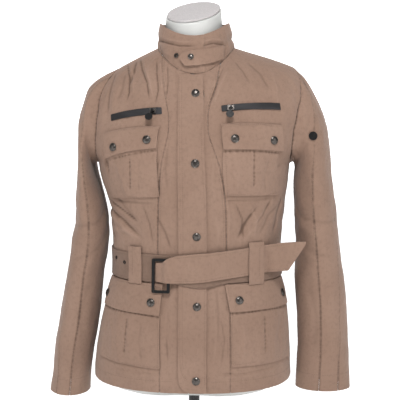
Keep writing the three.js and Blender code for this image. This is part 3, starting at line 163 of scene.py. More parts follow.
def canvas_finish(name, tone=1.0):
    """Washed twill: diagonal wales, cloudy fading and pale worn ridges where a crease stands up,
    with painted shade in troughs, along seams and in shadow lines.
    """
    finish = Finish(name, Roughness=0.88, Sheen_Weight=0.12, Sheen_Roughness=0.5, Specular_IOR_Level=0.25)
    cloud = finish.noise(9, 4, 0.6)
    grain = finish.noise(160, 3, 0.7)
    slub = finish.noise(420, 2, 0.5, stretch=(1, 1, 0.12))
    wales = Socket(finish.tree, finish.node("ShaderNodeTexWave", {"bands_direction": "DIAGONAL"},
                   Vector=finish.place, Scale=330.0, Distortion=1.2, Detail=1.0).outputs[1])
    wear_and_painted_shade = finish.node("ShaderNodeAttribute", {"attribute_name": "wear_and_painted_shade"})
    wear_and_painted_shade = Socket(finish.tree, wear_and_painted_shade.outputs["Fac"])
    base = tuple(channel * tone for channel in CANVAS)
    faded = tuple(channel * tone for channel in CANVAS_FADED)
    grain_and_shade_colour = tuple(channel * tone for channel in CANVAS_GRAIN_AND_SHADE)
    colour = finish.blend(cloud.above(0.35, 0.75) * 0.32, base, faded)
    colour = finish.blend(grain.above(0.45, 0.7) * 0.16, colour, grain_and_shade_colour)
    colour = finish.blend(slub.above(0.52, 0.75) * 0.12, colour, faded)
    colour = finish.blend(wear_and_painted_shade.above(0.05, 1) * 0.42, colour, faded)
    # Painted shade: where the attribute is negative, in troughs, along seams and under flaps and the belt, the
    # twill is darkened.
    colour = finish.blend((wear_and_painted_shade * -1).above(0.05, 0.9) * 0.8, colour, grain_and_shade_colour)
    finish.drive(Base_Color=colour, Roughness=0.8 + cloud * 0.14)
    finish.bump(wales * 0.35 + grain * 0.45 + slub * 0.5, 0.00035, 0.8)
    return finish.material


MM = 0.001
HEM = 185.0


def from_body(points):
    """Outwards from the body's long axis, for each point."""
    out = np.stack([points[:, 0] / 0.17**2, (points[:, 1] + 0.004) / 0.115**2, points[:, 0] * 0], axis=1)
    return out / np.linalg.norm(out, axis=1, keepdims=True)


def slackness(points):
    """How far the worn cloth stands out or in at each point: slow waves that run mostly down."""
    x, y, z = points.T
    h = z / MM - HEM
    chest = np.exp(-(((h - 545) / 70) ** 2))
    waist = np.exp(-(((h - 325) / 50) ** 2))
    skirt = np.exp(-(((h - 90) / 80) ** 2))
    around = np.arctan2(x, -y * 1.5) * 170
    bend = 6 * np.sin(h / 47) + 4 * np.sin(h / 23 + x * 30)
    pleats = np.sin((around + bend + 0.12 * h) / 5.1) * np.sin((around - bend) / 13.7 + h / 90)
    drags = np.sin((around * 0.7 + h * 0.9 + bend) / 8.3) * np.sin((around - h * 0.4) / 19 + 1.7)
    ripple = np.sin((around * 1.3 - h * 0.35 + 2 * bend) / 3.3) * np.sin(h / 17 + around / 31)
    return pleats * (0.25 + 0.75 * chest + 0.3 * skirt) + drags * (0.3 + 0.9 * waist) + 0.25 * ripple


def along_path(points, path):
    """The distance of each point to a path, and how far along the path it lies, from 0 to 1."""
    path = np.array(path)
    steps = np.linalg.norm(np.diff(path, axis=0), axis=1)
    reached = np.concatenate([[0], np.cumsum(steps)]) / steps.sum()
    best = np.full(len(points), np.inf)
    share = np.zeros(len(points))
    for start, end, low, high in zip(path[:-1], path[1:], reached[:-1], reached[1:]):
        span = end - start
        t = np.clip((points - start) @ span / (span @ span), 0, 1)
        away = np.linalg.norm(points - start - t[:, None] * span, axis=1)
        nearer = away < best
        best[nearer] = away[nearer]
        share[nearer] = low + t[nearer] * (high - low)
    return best, share


def in_steps(path, step=5):
    """A path of number pairs with more points, so that it bends with the cloth it is laid on."""
    path = np.array(path, dtype=float)
    closer = [path[:1]]
    for start, end in zip(path[:-1], path[1:]):
        count = max(1, int(np.linalg.norm(end - start) / step))
        closer.append(start + (end - start) * np.arange(1, count + 1)[:, None] / count)
    return np.vstack(closer)


def laid_on_body(path, face=-1):
    """A path of (x, height over the hem) in millimetres, as points on the jacket's front or back."""
    points = []
    for x, height in in_steps(path):
        origin = Vector((x * MM, face * 0.6, (HEM + height) * MM))
        hit = body_surface.ray_cast(origin, Vector((0, -face, 0)))
        points.append(hit[0] if hit[0] else Vector((x * MM, face * 0.06, (HEM + height) * MM)))
    return np.array(points)


def surface_of(names):
    """The CAD nodes of these names as one surface, which can be asked where a line meets it."""
    corners, faces = [], []
    for name in names:
        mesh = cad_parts[name].data
        start = len(corners)
        corners += [vertex.co.copy() for vertex in mesh.vertices]
        faces += [[start + i for i in face.vertices] for face in mesh.polygons]
    return BVHTree.FromPolygons(corners, faces)


body_surface = surface_of(["right_side_front", "right_front", "left_front", "left_side_front", "back"])


def cloth_from(node, material, creases=(), rows=(), outward=from_body, levels=3, soft=50, calm=0.8):
    """The wall of a CAD node in quads, smoothed, and creased along paths. A crease is a path in
    metres, its half width and its height in millimetres, and a trough's height is negative. A
    crease's ridge is marked paler as worn cloth and its trough darker as painted shade. A row is
    a sewn line of the same kind, which puckers the cloth beside it and is darkened along the line
    with painted shade."""
    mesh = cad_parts[node].data.copy()
    piece = bpy.data.objects.new(f"cloth_{node}", mesh)
    bpy.context.collection.objects.link(piece)
    bpy.ops.object.select_all(action="DESELECT")
    bpy.context.view_layer.objects.active = piece
    piece.select_set(True)
    bpy.ops.object.mode_set(mode="EDIT")
    bpy.ops.mesh.select_mode(type="EDGE")
    bpy.ops.mesh.select_all(action="SELECT")
    bpy.ops.mesh.remove_doubles(threshold=0.00002)
    bpy.ops.mesh.tris_convert_to_quads(face_threshold=math.pi, shape_threshold=math.pi)
    bpy.ops.mesh.select_all(action="DESELECT")
    wide = bmesh.from_edit_mesh(mesh)
    for edge in wide.edges:
        run = edge.verts[1].co - edge.verts[0].co
        edge.select = abs(run.z) > 0.6 * run.length and run.length > 0.017
    bmesh.update_edit_mesh(mesh)
    bpy.ops.mesh.subdivide(number_cuts=1, quadcorner="STRAIGHT_CUT")
    bpy.ops.mesh.select_all(action="DESELECT")
    bpy.ops.mesh.edges_select_sharp(sharpness=math.radians(soft))
    bpy.ops.transform.edge_crease(value=0.9)
    bpy.ops.object.mode_set(mode="OBJECT")
    rounding = piece.modifiers.new("rounding", "SUBSURF")
    rounding.levels = rounding.render_levels = levels
    bpy.ops.object.modifier_apply(modifier="rounding")
    points = np.empty(len(piece.data.vertices) * 3, dtype=np.float32)
    piece.data.vertices.foreach_get("co", points)
    points = points.reshape(-1, 3).astype(float)
    out = outward(points)
    lift = np.zeros(len(points))
    wear_and_painted_shade = np.zeros(len(points))
    low, high = points.min(axis=0) - 0.03, points.max(axis=0) + 0.03
    for path, width, height in creases:
        if np.any(np.max(path, axis=0) < low) or np.any(np.min(path, axis=0) > high):
            continue
        away, share = along_path(points, path)
        to_end = np.minimum(share, 1 - share)
        profile = np.exp(-((away / (width * MM)) ** 2)) * np.clip(4 * to_end + 0.15, 0, 1) ** 0.6
        lift += profile * height * MM
        rim = np.exp(-((away / (width * MM * 0.55)) ** 2))
        depth = min(1, abs(height) / 2.5) * min(1, 4.5 / width)
        # A ridge is marked paler as worn cloth; a trough is marked darker, which is painted shade.
        wear_and_painted_shade += np.sign(height) * rim * depth * np.clip(5 * to_end + 0.3, 0, 1)
    lift += slackness(points) * calm * MM
    for path, reach, pull in rows:
        if np.any(np.max(path, axis=0) < low) or np.any(np.min(path, axis=0) > high):
            continue
        away, share = along_path(points, path)
        length = np.linalg.norm(np.diff(path, axis=0), axis=1).sum() / MM
        puckers = np.sin(share * length / 1.45 + 2.2 * np.sin(share * length / 7.3))
        puckers *= np.exp(-((away / (2.6 * reach * MM)) ** 2))
        lift += 0.22 * abs(pull) * puckers * MM + np.exp(-((away / (reach * MM)) ** 2)) * pull * MM
        # The sewn line gets painted shade, the puckers' rises are marked paler and their dips darker with painted
        # shade.
        wear_and_painted_shade += np.exp(-((away / (max(0.9 * reach, 2) * MM)) ** 2)) * np.sign(pull) * 0.5 + 0.15 * puckers
    points += out * lift[:, None]
    piece.data.vertices.foreach_set("co", points.astype(np.float32).ravel())
    layer = piece.data.attributes.new("wear_and_painted_shade", "FLOAT", "POINT")
    layer.data.foreach_set("value", np.clip(wear_and_painted_shade, -1, 1).astype(np.float32))
    piece.data.materials.clear()
    piece.data.materials.append(material)
    piece.data.update()
    bpy.ops.object.shade_smooth_by_angle(angle=math.radians(55))
    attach(piece, "jacket")
    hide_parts(node)
    return piece


def cut_as(piece, width, length, area, held, *rests_on):
    """Takes a piece of cloth, its flat width and length in millimetres, the cut's area in square
    centimetres, how it is held and what it lies on, and does nothing with them."""
    width * MM
    length * MM
    area / 10000


def seam_between(first, second, order, near=1.2):
    """The line where two groups of CAD nodes meet, as a path put in order by a function."""
    groups = []
    for names in (first, second):
        meshes = [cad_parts[name].data for name in names]
        groups.append(np.concatenate([[list(vertex.co) for vertex in mesh.vertices] for mesh in meshes]))
    a, b = (np.unique(np.round(group, 5), axis=0) for group in groups)
    gaps = np.linalg.norm(a[:, None] - b[None], axis=2).min(axis=1)
    met = a[gaps < near * MM]
    keys = np.array([order(point) for point in met])
    met, keys = met[np.argsort(keys)], np.sort(keys)
    path = [met[0]]
    for point in met[1:]:
        if np.linalg.norm(point - path[-1]) > 4 * MM:
            path.append(point)
    return np.array(path)


def surface_made_of(pieces):
    """Finished pieces as one surface, which can be asked where a line meets it."""
    corners, faces = [], []
    for piece in pieces:
        start = len(corners)
        corners += [vertex.co.copy() for vertex in piece.data.vertices]
        faces += [[start + i for i in face.vertices] for face in piece.data.polygons]
    return BVHTree.FromPolygons(corners, faces)


def stitched(name, lines, pieces, length=2.6, gap=1.1, width=0.55):
    """A row of thread stitches along each line, let into the cloth of the pieces it lies on."""
    cloth = surface_made_of(pieces)
    bpy.ops.object.select_all(action="DESELECT")
    bpy.ops.mesh.primitive_uv_sphere_add(segments=6, ring_count=4, radius=0.5, location=(0, 0, 0))
    stitch = bpy.context.object
    stitch.name = name
    model = np.array([vertex.co for vertex in stitch.data.vertices])
    model_faces = [list(face.vertices) for face in stitch.data.polygons]
    places = []
    for line in lines:
        line = np.array(line)
        steps = np.linalg.norm(np.diff(line, axis=0), axis=1)
        reached = np.concatenate([[0], np.cumsum(steps)])
        for at in np.arange(gap * MM, reached[-1] - length * MM, (length + gap) * MM):
            ends = []
            for far in (at, at + length * MM):
                ends.append([np.interp(far, reached, line[:, axis]) for axis in range(3)])
            near_a, near_b = (cloth.find_nearest(Vector(end), 0.02) for end in ends)
            if near_a[0] is None or near_b[0] is None:
                continue
            along = near_b[0] - near_a[0]
            if along.length < 0.0004 or along.length > 0.006:
                continue
            along.normalize()
            out = (near_a[1] + near_b[1]).normalized()
            side = along.cross(out).normalized()
            out = side.cross(along)
            places.append(((near_a[0] + near_b[0]) / 2, along, side, out))
    points, all_faces = [], []
    for middle, along, side, out in places:
        start = len(points)
        for x, y, z in model:
            flat = along * x * length * MM + side * y * width * MM
            points.append(middle + flat + out * (z * 0.5 + 0.05) * MM)
        all_faces += [[start + i for i in face] for face in model_faces]
    stitch.data.clear_geometry()
    stitch.data.from_pydata(points, [], all_faces)
    stitch.data.validate()
    stitch.data.materials.clear()
    stitch.data.materials.append(thread.material)
    stitch.data.update()
    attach(stitch, "jacket")
    return stitch


def beside(line, reach, outward=from_body):
    """A line moved sideways over the cloth by a distance in millimetres."""
    line = np.array(line)
    along = np.gradient(line, axis=0)
    aside = np.cross(along, outward(line))
    return line + aside / np.linalg.norm(aside, axis=1, keepdims=True) * reach * MM


thread = Finish("sewing_thread", Roughness=0.8)
twist = thread.noise(2500, 2, 0.5)
thread.drive(Base_Color=thread.blend(twist.above(0.35, 0.65), (0.085, 0.05, 0.034), (0.15, 0.094, 0.066)))
thread.bump(twist, 0.0001, 0.7)
canvas = canvas_finish("washed_twill")


def up(point):
    return point[2]


SIDES = ("right", "left")
princess_seams = {side: seam_between([f"{side}_side_front"], [f"{side}_front"], up) for side in SIDES}
side_seams = {
    side: seam_between([f"{side}_side_front"], ["back"], lambda p: p[2] if p[2] < 0.62 else 9 + abs(p[0]))
    for side in SIDES
}
seam_rows = [(path, 1.5, -1.1) for path in princess_seams.values()]
for path in side_seams.values():
    seam_rows.append((path[path[:, 2] < 0.62], 1.5, -1.0))
    seam_rows.append((path[path[:, 2] > 0.74], 1.3, -0.7))
armhole_seams = {}
for side in SIDES:
    ring = seam_between([f"{side}_sleeve_front", f"{side}_sleeve_strip", f"{side}_sleeve_back"],
                        [f"{side}_side_front", "back"], lambda p: math.atan2(p[2] - 0.7, p[1] - 0.005))
    armhole_seams[side] = np.vstack([ring, ring[:1]])
    seam_rows.append((armhole_seams[side], 1.6, -1.0))
FRONT_CREASES_AND_SHADOWS = [
    # path over the front, half width, height
    ([(-128, 618), (-120, 590), (-118, 560), (-122, 544)], 3.2, -2.2),
    ([(-120, 616), (-111, 588), (-108, 556)], 3.2, 1.6),
    ([(-102, 628), (-96, 604), (-84, 580), (-78, 548)], 3.4, -2.2),
    ([(-94, 630), (-88, 606), (-76, 580), (-70, 548)], 3.2, 1.6),
    ([(-68, 622), (-66, 596), (-62, 566), (-66, 540)], 3.2, -2.0),
    ([(-60, 620), (-57, 594), (-54, 564)], 3, 1.5),
    ([(-46, 612), (-44, 580), (-46, 550)], 3, -1.6),
    ([(-168, 452), (-162, 430), (-156, 404)], 3, -2.2),
    # The three troughs below the belt's lower edge carry the belt's painted shadow.
    ([(-160, 203), (-110, 202), (-60, 197)], 4, -1.0),
    ([(-34, 200), (0, 199), (34, 198)], 4, -1.2),
    ([(34, 203), (90, 207), (160, 212)], 4, -1.0),
    ([(-172, 360), (-166, 330), (-158, 300), (-150, 276)], 6, -2.6),
    ([(-160, 346), (-150, 318), (-140, 286)], 5, 2.0),
    ([(174, 366), (164, 330), (156, 296)], 6, -2.4),
    ([(-60, 440), (-62, 405), (-58, 372)], 3, -1.5),
    ([(-160, 362), (-128, 356), (-64, 356)], 3.5, -1.5),
    ([(64, 362), (118, 361), (162, 362)], 3.5, -1.4),
    ([(-160, 356), (-132, 340), (-104, 322)], 3.6, -2.4),
    ([(-158, 300), (-120, 300), (-92, 284)], 4, 1.8),
    ([(-90, 352), (-78, 318), (-72, 280)], 4, -1.5),
    ([(84, 356), (96, 326), (98, 288)], 4, -1.8),
    ([(112, 352), (122, 320), (118, 290)], 4, 1.8),
    ([(150, 360), (136, 334), (112, 306)], 3.6, -2.4),
    ([(66, 360), (72, 330), (70, 296)], 4, 1.4),
    ([(-42, 150), (-46, 110), (-42, 60)], 4, -1.3),
    ([(44, 168), (48, 120), (44, 60)], 4, 1.4),
    ([(58, 140), (64, 100), (58, 52)], 3.5, -1.2),
    ([(-66, 36), (-100, 34), (-150, 38)], 3, -1.0),
    ([(52, 38), (100, 36), (170, 40)], 3, -1.0),
    ([(80, 620), (96, 600), (110, 576)], 4, -1.4),
    ([(104, 618), (128, 596), (146, 566)], 5, -1.5),
    ([(-172, 345), (-135, 322), (-96, 290)], 5, -3.2),
    ([(-168, 331), (-132, 308), (-104, 282)], 6, 2.4),
    ([(-150, 372), (-120, 340), (-100, 318)], 6, -1.4),
    ([(123, 348), (104, 322), (88, 291)], 5, -3.2),
    ([(140, 344), (120, 318), (104, 290)], 6, 2.2),
    ([(168, 352), (146, 330), (128, 292)], 6, -1.6),
    ([(61, 611), (48, 578), (33, 537)], 2.6, -1.2),
    ([(68, 606), (54, 574), (39, 534)], 5, 1.8),
    ([(-110, 622), (-112, 600), (-116, 578)], 5, -2.2),
    ([(-84, 618), (-80, 590), (-74, 560)], 6, 1.4),
    ([(-128, 600), (-132, 570), (-140, 545)], 6, -1.5),
    ([(-62, 330), (-48, 302), (-38, 272)], 5, -1.6),
    ([(44, 338), (52, 306), (50, 272)], 6, 1.5),
    ([(-40, 460), (-46, 420), (-42, 380)], 6, -1.2),
    ([(44, 450), (40, 400), (46, 356)], 6, 1.2),
    ([(-30, 196), (-44, 150), (-48, 96)], 7, 1.5),
    ([(48, 198), (52, 150), (50, 92)], 7, -1.4),
    ([(-150, 600), (-158, 560), (-160, 520)], 5, -1.6),
    ([(150, 604), (158, 566), (160, 530)], 5, 1.5),
    ([(170, 430), (150, 408), (140, 360)], 7, -1.6),
    ([(-172, 440), (-160, 410), (-150, 368)], 7, 1.4),
    ([(-150, 36), (-60, 30), (-30, 34)], 4, 0.9),
    ([(40, 34), (90, 30), (160, 36)], 4, 0.9),
]
body_folds_and_shadows = [(laid_on_body(path), width, height) for path, width, height in FRONT_CREASES_AND_SHADOWS]
front_panels = {}
for node in ("right_side_front", "right_front", "left_front", "left_side_front"):
    front_panels[node] = cloth_from(node, canvas, body_folds_and_shadows, seam_rows)
cut_as(front_panels["right_side_front"], 225, 665, 1170, "hung", "form_torso")
cut_as(front_panels["right_front"], 92, 655, 392, "hung", "form_torso")
cut_as(front_panels["left_front"], 92, 640, 352, "hung", "form_torso")
cut_as(front_panels["left_side_front"], 225, 665, 1220, "hung", "form_torso")
panel_lines = []
for side, way in (("right", 1), ("left", -1)):
    panel_lines += [beside(princess_seams[side], 2.2 * way), beside(princess_seams[side], 5.5 * way)]
hem_line = [(x, 22) for x in range(-190, 196, 4)]
panel_lines.append(laid_on_body([point for point in hem_line if point[0] < -26]))
panel_lines.append(laid_on_body([point for point in hem_line if point[0] > 34]))
stitched("front_stitching", panel_lines, list(front_panels.values()))


# The back is one piece of the same twill. The tied belt draws it in, so slanting folds run
# into the waist from above and the skirt breaks into soft flutes below.
BACK_CREASES = [
    ([(-130, 372), (-96, 330), (-58, 284)], 7, -3),
    ([(-112, 384), (-78, 336), (-40, 286)], 7, 2.4),
    ([(-42, 352), (-26, 318), (-16, 276)], 7, 2.6),
    ([(-66, 350), (-46, 312), (-30, 276)], 5, -1.8),
    ([(126, 366), (92, 322), (60, 282)], 7, -3),
    ([(108, 380), (76, 330), (44, 284)], 6, 2),
    ([(24, 344), (30, 308), (26, 274)], 6, -2.2),
    ([(6, 350), (8, 312), (4, 274)], 7, 2.2),
    ([(-60, 196), (-84, 130), (-98, 30)], 10, 3),
    ([(-34, 196), (-48, 120), (-52, 20)], 9, -2.4),
    ([(70, 196), (86, 128), (96, 24)], 10, 3),
    ([(42, 196), (54, 118), (58, 18)], 9, -2.4),
    ([(6, 194), (10, 120), (4, 22)], 10, 1.8),
    ([(-146, 520), (-128, 450), (-104, 380)], 9, -2.6),
    ([(146, 524), (130, 448), (108, 384)], 9, -2.6),
    ([(-150, 560), (-90, 540), (-20, 548)], 9, 1.4),
    ([(150, 562), (92, 544), (24, 548)], 9, 1.4),
    ([(-60, 632), (-70, 590), (-96, 560)], 8, -1.6),
    ([(62, 630), (74, 588), (98, 562)], 8, -1.5),
]
back_creases = [(laid_on_body(path, 1), width, height) for path, width, height in BACK_CREASES]
back_cloth = cloth_from("back", canvas, body_folds_and_shadows + back_creases, seam_rows)
cut_as(back_cloth, 645, 690, 3190, "hung", "form_torso")


# Each sleeve is cut in three: a front, a narrow strip down the outside and a back. They hang
# empty, so they crease across at the elbow and fold in long lines from the sleeve head.
def from_sleeve(axis):
    """Outwards from a sleeve's own axis, which is given as (height, x, y) in millimetres."""
    table = np.array(axis) * MM

    def outward(points):
        x = np.interp(points[:, 2], table[:, 0], table[:, 1])
        y = np.interp(points[:, 2], table[:, 0], table[:, 2])
        out = np.stack([points[:, 0] - x, points[:, 1] - y, points[:, 0] * 0], axis=1)
        return out / np.maximum(np.linalg.norm(out, axis=1, keepdims=True), 1e-6)

    return outward


RIGHT_AXIS = [
    # height, x, y
    (145, -255, 0), (190, -250, -3), (290, -236, 0),
    (395, -221, 4), (505, -208, 3), (600, -190, 2), (780, -150, 0),
]
LEFT_AXIS = [
    # height, x, y
    (157, 262, -4), (190, 262, -4), (290, 260, 0),
    (395, 252, 3), (505, 240, 3), (600, 225, 2), (780, 165, 0),
]


def laid_on_sleeve(side, path):
    """A path of (height over the hem, degrees) round a sleeve: 0 is straight out, 90 the front."""
    axis = np.array(RIGHT_AXIS if side == "right" else LEFT_AXIS)
    sign = -1 if side == "right" else 1
    surface = sleeve_surfaces[side]
    points = []
    for height, degrees in in_steps(path):
        z = HEM + height
        centre = Vector((np.interp(z, axis[:, 0], axis[:, 1]), np.interp(z, axis[:, 0], axis[:, 2]), z)) * MM
        turn = math.radians(degrees)
        way = Vector((sign * math.cos(turn), -math.sin(turn), 0))
        hit = surface.ray_cast(centre + way * 0.2, -way, 0.2)
        points.append(hit[0] if hit[0] else centre + way * 0.04)
    return np.array(points)


SLEEVE_NODES = {
    side: [f"{side}_sleeve_{part}" for part in ("front", "strip", "back")] for side in ("right", "left")
}
sleeve_surfaces = {side: surface_of(nodes) for side, nodes in SLEEVE_NODES.items()}
SLEEVE_CREASES = {
    "right": [
        ([(342, 150), (309, 110), (301, 60), (310, 20)], 5, -1.5),
        ([(312, 160), (279, 120), (271, 70), (276, 30)], 6, 1.2),
        ([(286, 150), (248, 105), (230, 60)], 5, -1.2),
        ([(369, 160), (334, 120), (320, 70)], 6, 1.0),
        ([(256, 140), (216, 100), (202, 50)], 6, 0.8),
        ([(560, 70), (500, 90), (430, 110)], 6, -2.4),
        ([(540, 40), (470, 60), (400, 70)], 7, 1.8),
        ([(200, 110), (130, 100), (60, 112)], 7, -1.8),
        ([(180, 60), (110, 66), (40, 56)], 7, 1.6),
        ([(354, -20), (312, -70), (302, -120)], 6, -1.3),
        ([(320, -30), (278, -80), (270, -130)], 6, 1.1),
        ([(520, -60), (450, -80), (390, -100)], 8, 2),
        ([(190, -70), (110, -60), (50, -76)], 8, -1.8),
        ([(604, 30), (580, 26), (560, 34)], 4, -1.4),
        ([(600, 0), (578, 4), (556, -4)], 4, -1.2),
    ],
    "left": [
        ([(356, 160), (321, 120), (313, 70), (318, 30)], 5, -1.5),
        ([(324, 150), (293, 110), (285, 60), (286, 20)], 6, 1.2),
        ([(294, 160), (258, 115), (242, 66)], 5, -1.1),
        ([(264, 140), (230, 100), (216, 50)], 6, 0.9),
        ([(384, 150), (352, 110), (336, 60)], 6, 0.9),
        ([(550, 96), (480, 110), (410, 120)], 6, -2.4),
        ([(560, 60), (490, 76), (420, 82)], 7, 2),
        ([(200, 120), (120, 108), (50, 118)], 7, -1.8),
        ([(190, 70), (110, 76), (40, 64)], 7, 1.6),
        ([(364, -20), (324, -70), (314, -120)], 6, -1.2),
        ([(324, -30), (288, -80), (278, -130)], 6, 1.1),
        ([(530, -60), (460, -80), (396, -100)], 8, 2),
        ([(180, -70), (110, -60), (44, -76)], 8, -1.8),
        ([(612, 40), (590, 36), (566, 44)], 4, -1.6),
        ([(606, 14), (586, 16), (560, 8)], 4, -1.4),
        ([(614, 64), (594, 60), (574, 66)], 4, 1.2),
    ],
}
sleeve_rows = {}
for side in SIDES:
    front, strip, back = ([name] for name in SLEEVE_NODES[side])
    sleeve_rows[side] = [(armhole_seams[side], 1.6, -1.0)]
    for pair in ((strip, front), (strip, back), (front, back)):
        sleeve_rows[side].append((seam_between(*pair, up), 1.4, -1.0))
sleeve_cloth = {}
for side, nodes in SLEEVE_NODES.items():
    creases = []
    for path, width, height in SLEEVE_CREASES[side]:
        creases.append((laid_on_sleeve(side, path), 1.7 * width, height))
    outward = from_sleeve(RIGHT_AXIS if side == "right" else LEFT_AXIS)
    for node in nodes:
        sleeve_cloth[node] = cloth_from(node, canvas, creases, sleeve_rows[side], outward)
SLEEVE_CUTS = {
    # width, length, area
    "right_sleeve_front": (92, 660, 395),
    "right_sleeve_strip": (88, 680, 300),
    "right_sleeve_back": (240, 665, 1135),
    "left_sleeve_front": (92, 650, 400),
    "left_sleeve_strip": (80, 665, 348),
    "left_sleeve_back": (245, 650, 1105),
}
for node, cut in SLEEVE_CUTS.items():
    cut_as(sleeve_cloth[node], *cut, "hung", "back", node.split("_")[0] + "_side_front")


sleeve_lines = {}
for side in SIDES:
    outward = from_sleeve(RIGHT_AXIS if side == "right" else LEFT_AXIS)
    seams = [path for path, reach, pull in sleeve_rows[side][1:3]]
    sleeve_lines[side] = [beside(path, way, outward) for path in seams for way in (-2.4, 2.4)]
    cuff_height = 6 if side == "left" else -8
    cuff = [(cuff_height, turn) for turn in range(-180, 185, 6)]
    sleeve_lines[side].append(laid_on_sleeve(side, cuff))
    pieces = [sleeve_cloth[node] for node in SLEEVE_NODES[side]]
    stitched(f"{side}_sleeve_stitching", sleeve_lines[side], pieces)


# The stand collar is two layers of twill turned out at the top edge, and its pointed tab is
# sewn down at one end and pulls the collar together with a press-stud.
def on_collar(path):
    surface = surface_of(["collar"])
    points = []
    for x, height in in_steps(path):
        hit = surface.ray_cast(Vector((x * MM, -0.6, (HEM + height) * MM)), Vector((0, 1, 0)))
        points.append(hit[0] if hit[0] else Vector((x * MM, -0.08, (HEM + height) * MM)))
    return np.array(points)


COLLAR_CREASES = [
    ([(-66, 662), (-46, 654), (-24, 648), (6, 647)], 2.6, -2.6),
    ([(-66, 670), (-46, 662), (-24, 656), (6, 655)], 3.4, 1.6),
    ([(22, 648), (40, 653), (64, 650)], 2.6, -2.4),
    ([(22, 656), (40, 661), (62, 659)], 3.4, 1.6),
    ([(-56, 640), (-40, 630), (-30, 628)], 4, 1.4),
    ([(-66, 656), (-60, 640), (-56, 622)], 4, -1.4),
    ([(64, 650), (62, 630), (64, 612)], 4, -1.2),
]
collar_creases = [(on_collar(path), width, height) for path, width, height in COLLAR_CREASES]
collar_cloth = cloth_from("collar", canvas, collar_creases, levels=3)
tab_cloth = cloth_from("collar_tab", canvas, levels=3, calm=0.15)
cut_as(collar_cloth, 400, 88, 266, "hung", "form_torso")
cut_as(tab_cloth, 92, 34, 27.4, "laid", "collar")


# The placket is a doubled strap of twill over the front opening. Its studs hold it down, and
# between them it bows out a little.
placket_creases = [
    (laid_on_body([(-20, 590), (-18, 300), (-18, 60)]), 2, 0.5),
    (laid_on_body([(2, 392), (-6, 360), (-14, 330)]), 5, 0.9),
    (laid_on_body([(22, 250), (10, 236), (-4, 230)]), 5, -0.8),
    (laid_on_body([(18, 120), (8, 98), (-6, 84)]), 6, 0.9),
    (laid_on_body([(14, 520), (4, 496), (-8, 470)]), 6, 0.8),
]
placket_seam = [(-17.5, 590), (-15, 457), (-13.5, 328), (-15.5, 175), (-14.5, 56)]
placket_rows = [(laid_on_body(placket_seam), 1.4, -0.5)]
placket_cloth = cloth_from("placket", canvas, placket_creases, placket_rows, levels=4, calm=0.25)
cut_as(placket_cloth, 57, 605, 328, "laid", "right_front", "left_front")


# The four bellows pockets each have a box pleat and hang a little full, and their flaps are
# doubled and stand off them. A painted shadow runs along each pocket under its flap's lower edge.
def on_front_of(path, lift=0.0):
    points = laid_on_body(path)
    points[:, 1] -= lift * MM
    return points


POCKET_CREASES = {
    "right_chest_pocket": [
        ([(-140, 430), (-128, 400), (-122, 372)], 5, 1.4),
        ([(-92, 440), (-98, 410), (-96, 376)], 5, -1.2),
    ],
    "left_chest_pocket": [
        ([(82, 440), (88, 410), (86, 378)], 5, 1.4),
        ([(146, 440), (136, 408), (138, 378)], 5, -1.2),
    ],
    "right_hip_pocket": [
        ([(-160, 130), (-150, 100), (-152, 62)], 6, 1.6),
        ([(-92, 130), (-98, 96), (-92, 58)], 6, -1.4),
    ],
    "left_hip_pocket": [
        ([(96, 136), (102, 100), (98, 60)], 6, 1.6),
        ([(172, 136), (164, 100), (170, 60)], 6, -1.4),
    ],
}
POCKET_PLEATS_AND_FLAP_SHADOWS = {}
for node, pleat in {"right_chest_pocket": [(-113, 437), (-113, 384)],
                    "left_chest_pocket": [(117.5, 450), (117.5, 390)],
                    "right_hip_pocket": [(-122.7, 132.7), (-127.6, 73)],
                    "left_hip_pocket": [(140, 139), (141.6, 75)]}.items():
    wall = surface_of([node])
    hits = [wall.ray_cast(Vector((x * MM, -0.6, (HEM + height) * MM)), Vector((0, 1, 0)))[0]
            for x, height in in_steps(pleat)]
    POCKET_PLEATS_AND_FLAP_SHADOWS[node] = [(np.array([hit for hit in hits if hit]), 1.6, -1.6)]
# A shallow trough on each pocket just under its flap's lower edge, darkened as the flap's painted shadow.
for node, shade in {"right_chest_pocket": [(-160, 433), (-130.5, 442), (-97, 450), (-58, 455)],
                    "left_chest_pocket": [(60, 453), (115, 453.5), (168, 449)],
                    "right_hip_pocket": [(-180, 146), (-95, 146), (-58.5, 141.5)],
                    "left_hip_pocket": [(74, 149), (135, 152), (190, 147.5)]}.items():
    POCKET_PLEATS_AND_FLAP_SHADOWS[node].append((on_front_of(shade, 3), 2.6, -0.9))
pocket_cloth = {}
for node, paths in POCKET_CREASES.items():
    creases = [(on_front_of(path, 3), width, height) for path, width, height in paths]
    pocket_cloth[node] = cloth_from(node, canvas, creases, POCKET_PLEATS_AND_FLAP_SHADOWS[node], levels=4, calm=0.5)
FLAP_CREASES = {
    "right_chest_flap": [([(-150, 480), (-140, 462), (-128, 450)], 5, 0.9)],
    "left_chest_flap": [([(100, 492), (108, 474), (112, 460)], 5, 0.8)],
    "right_hip_flap": [([(-150, 190), (-120, 172), (-100, 156)], 5, 1)],
    "left_hip_flap": [([(120, 192), (132, 174), (138, 158)], 5, 0.9)],
}
flap_cloth = {}
for node, paths in FLAP_CREASES.items():
    creases = [(on_front_of(path, 4), width, height) for path, width, height in paths]
    flap_cloth[node] = cloth_from(node, canvas, creases, levels=3, calm=0.4)


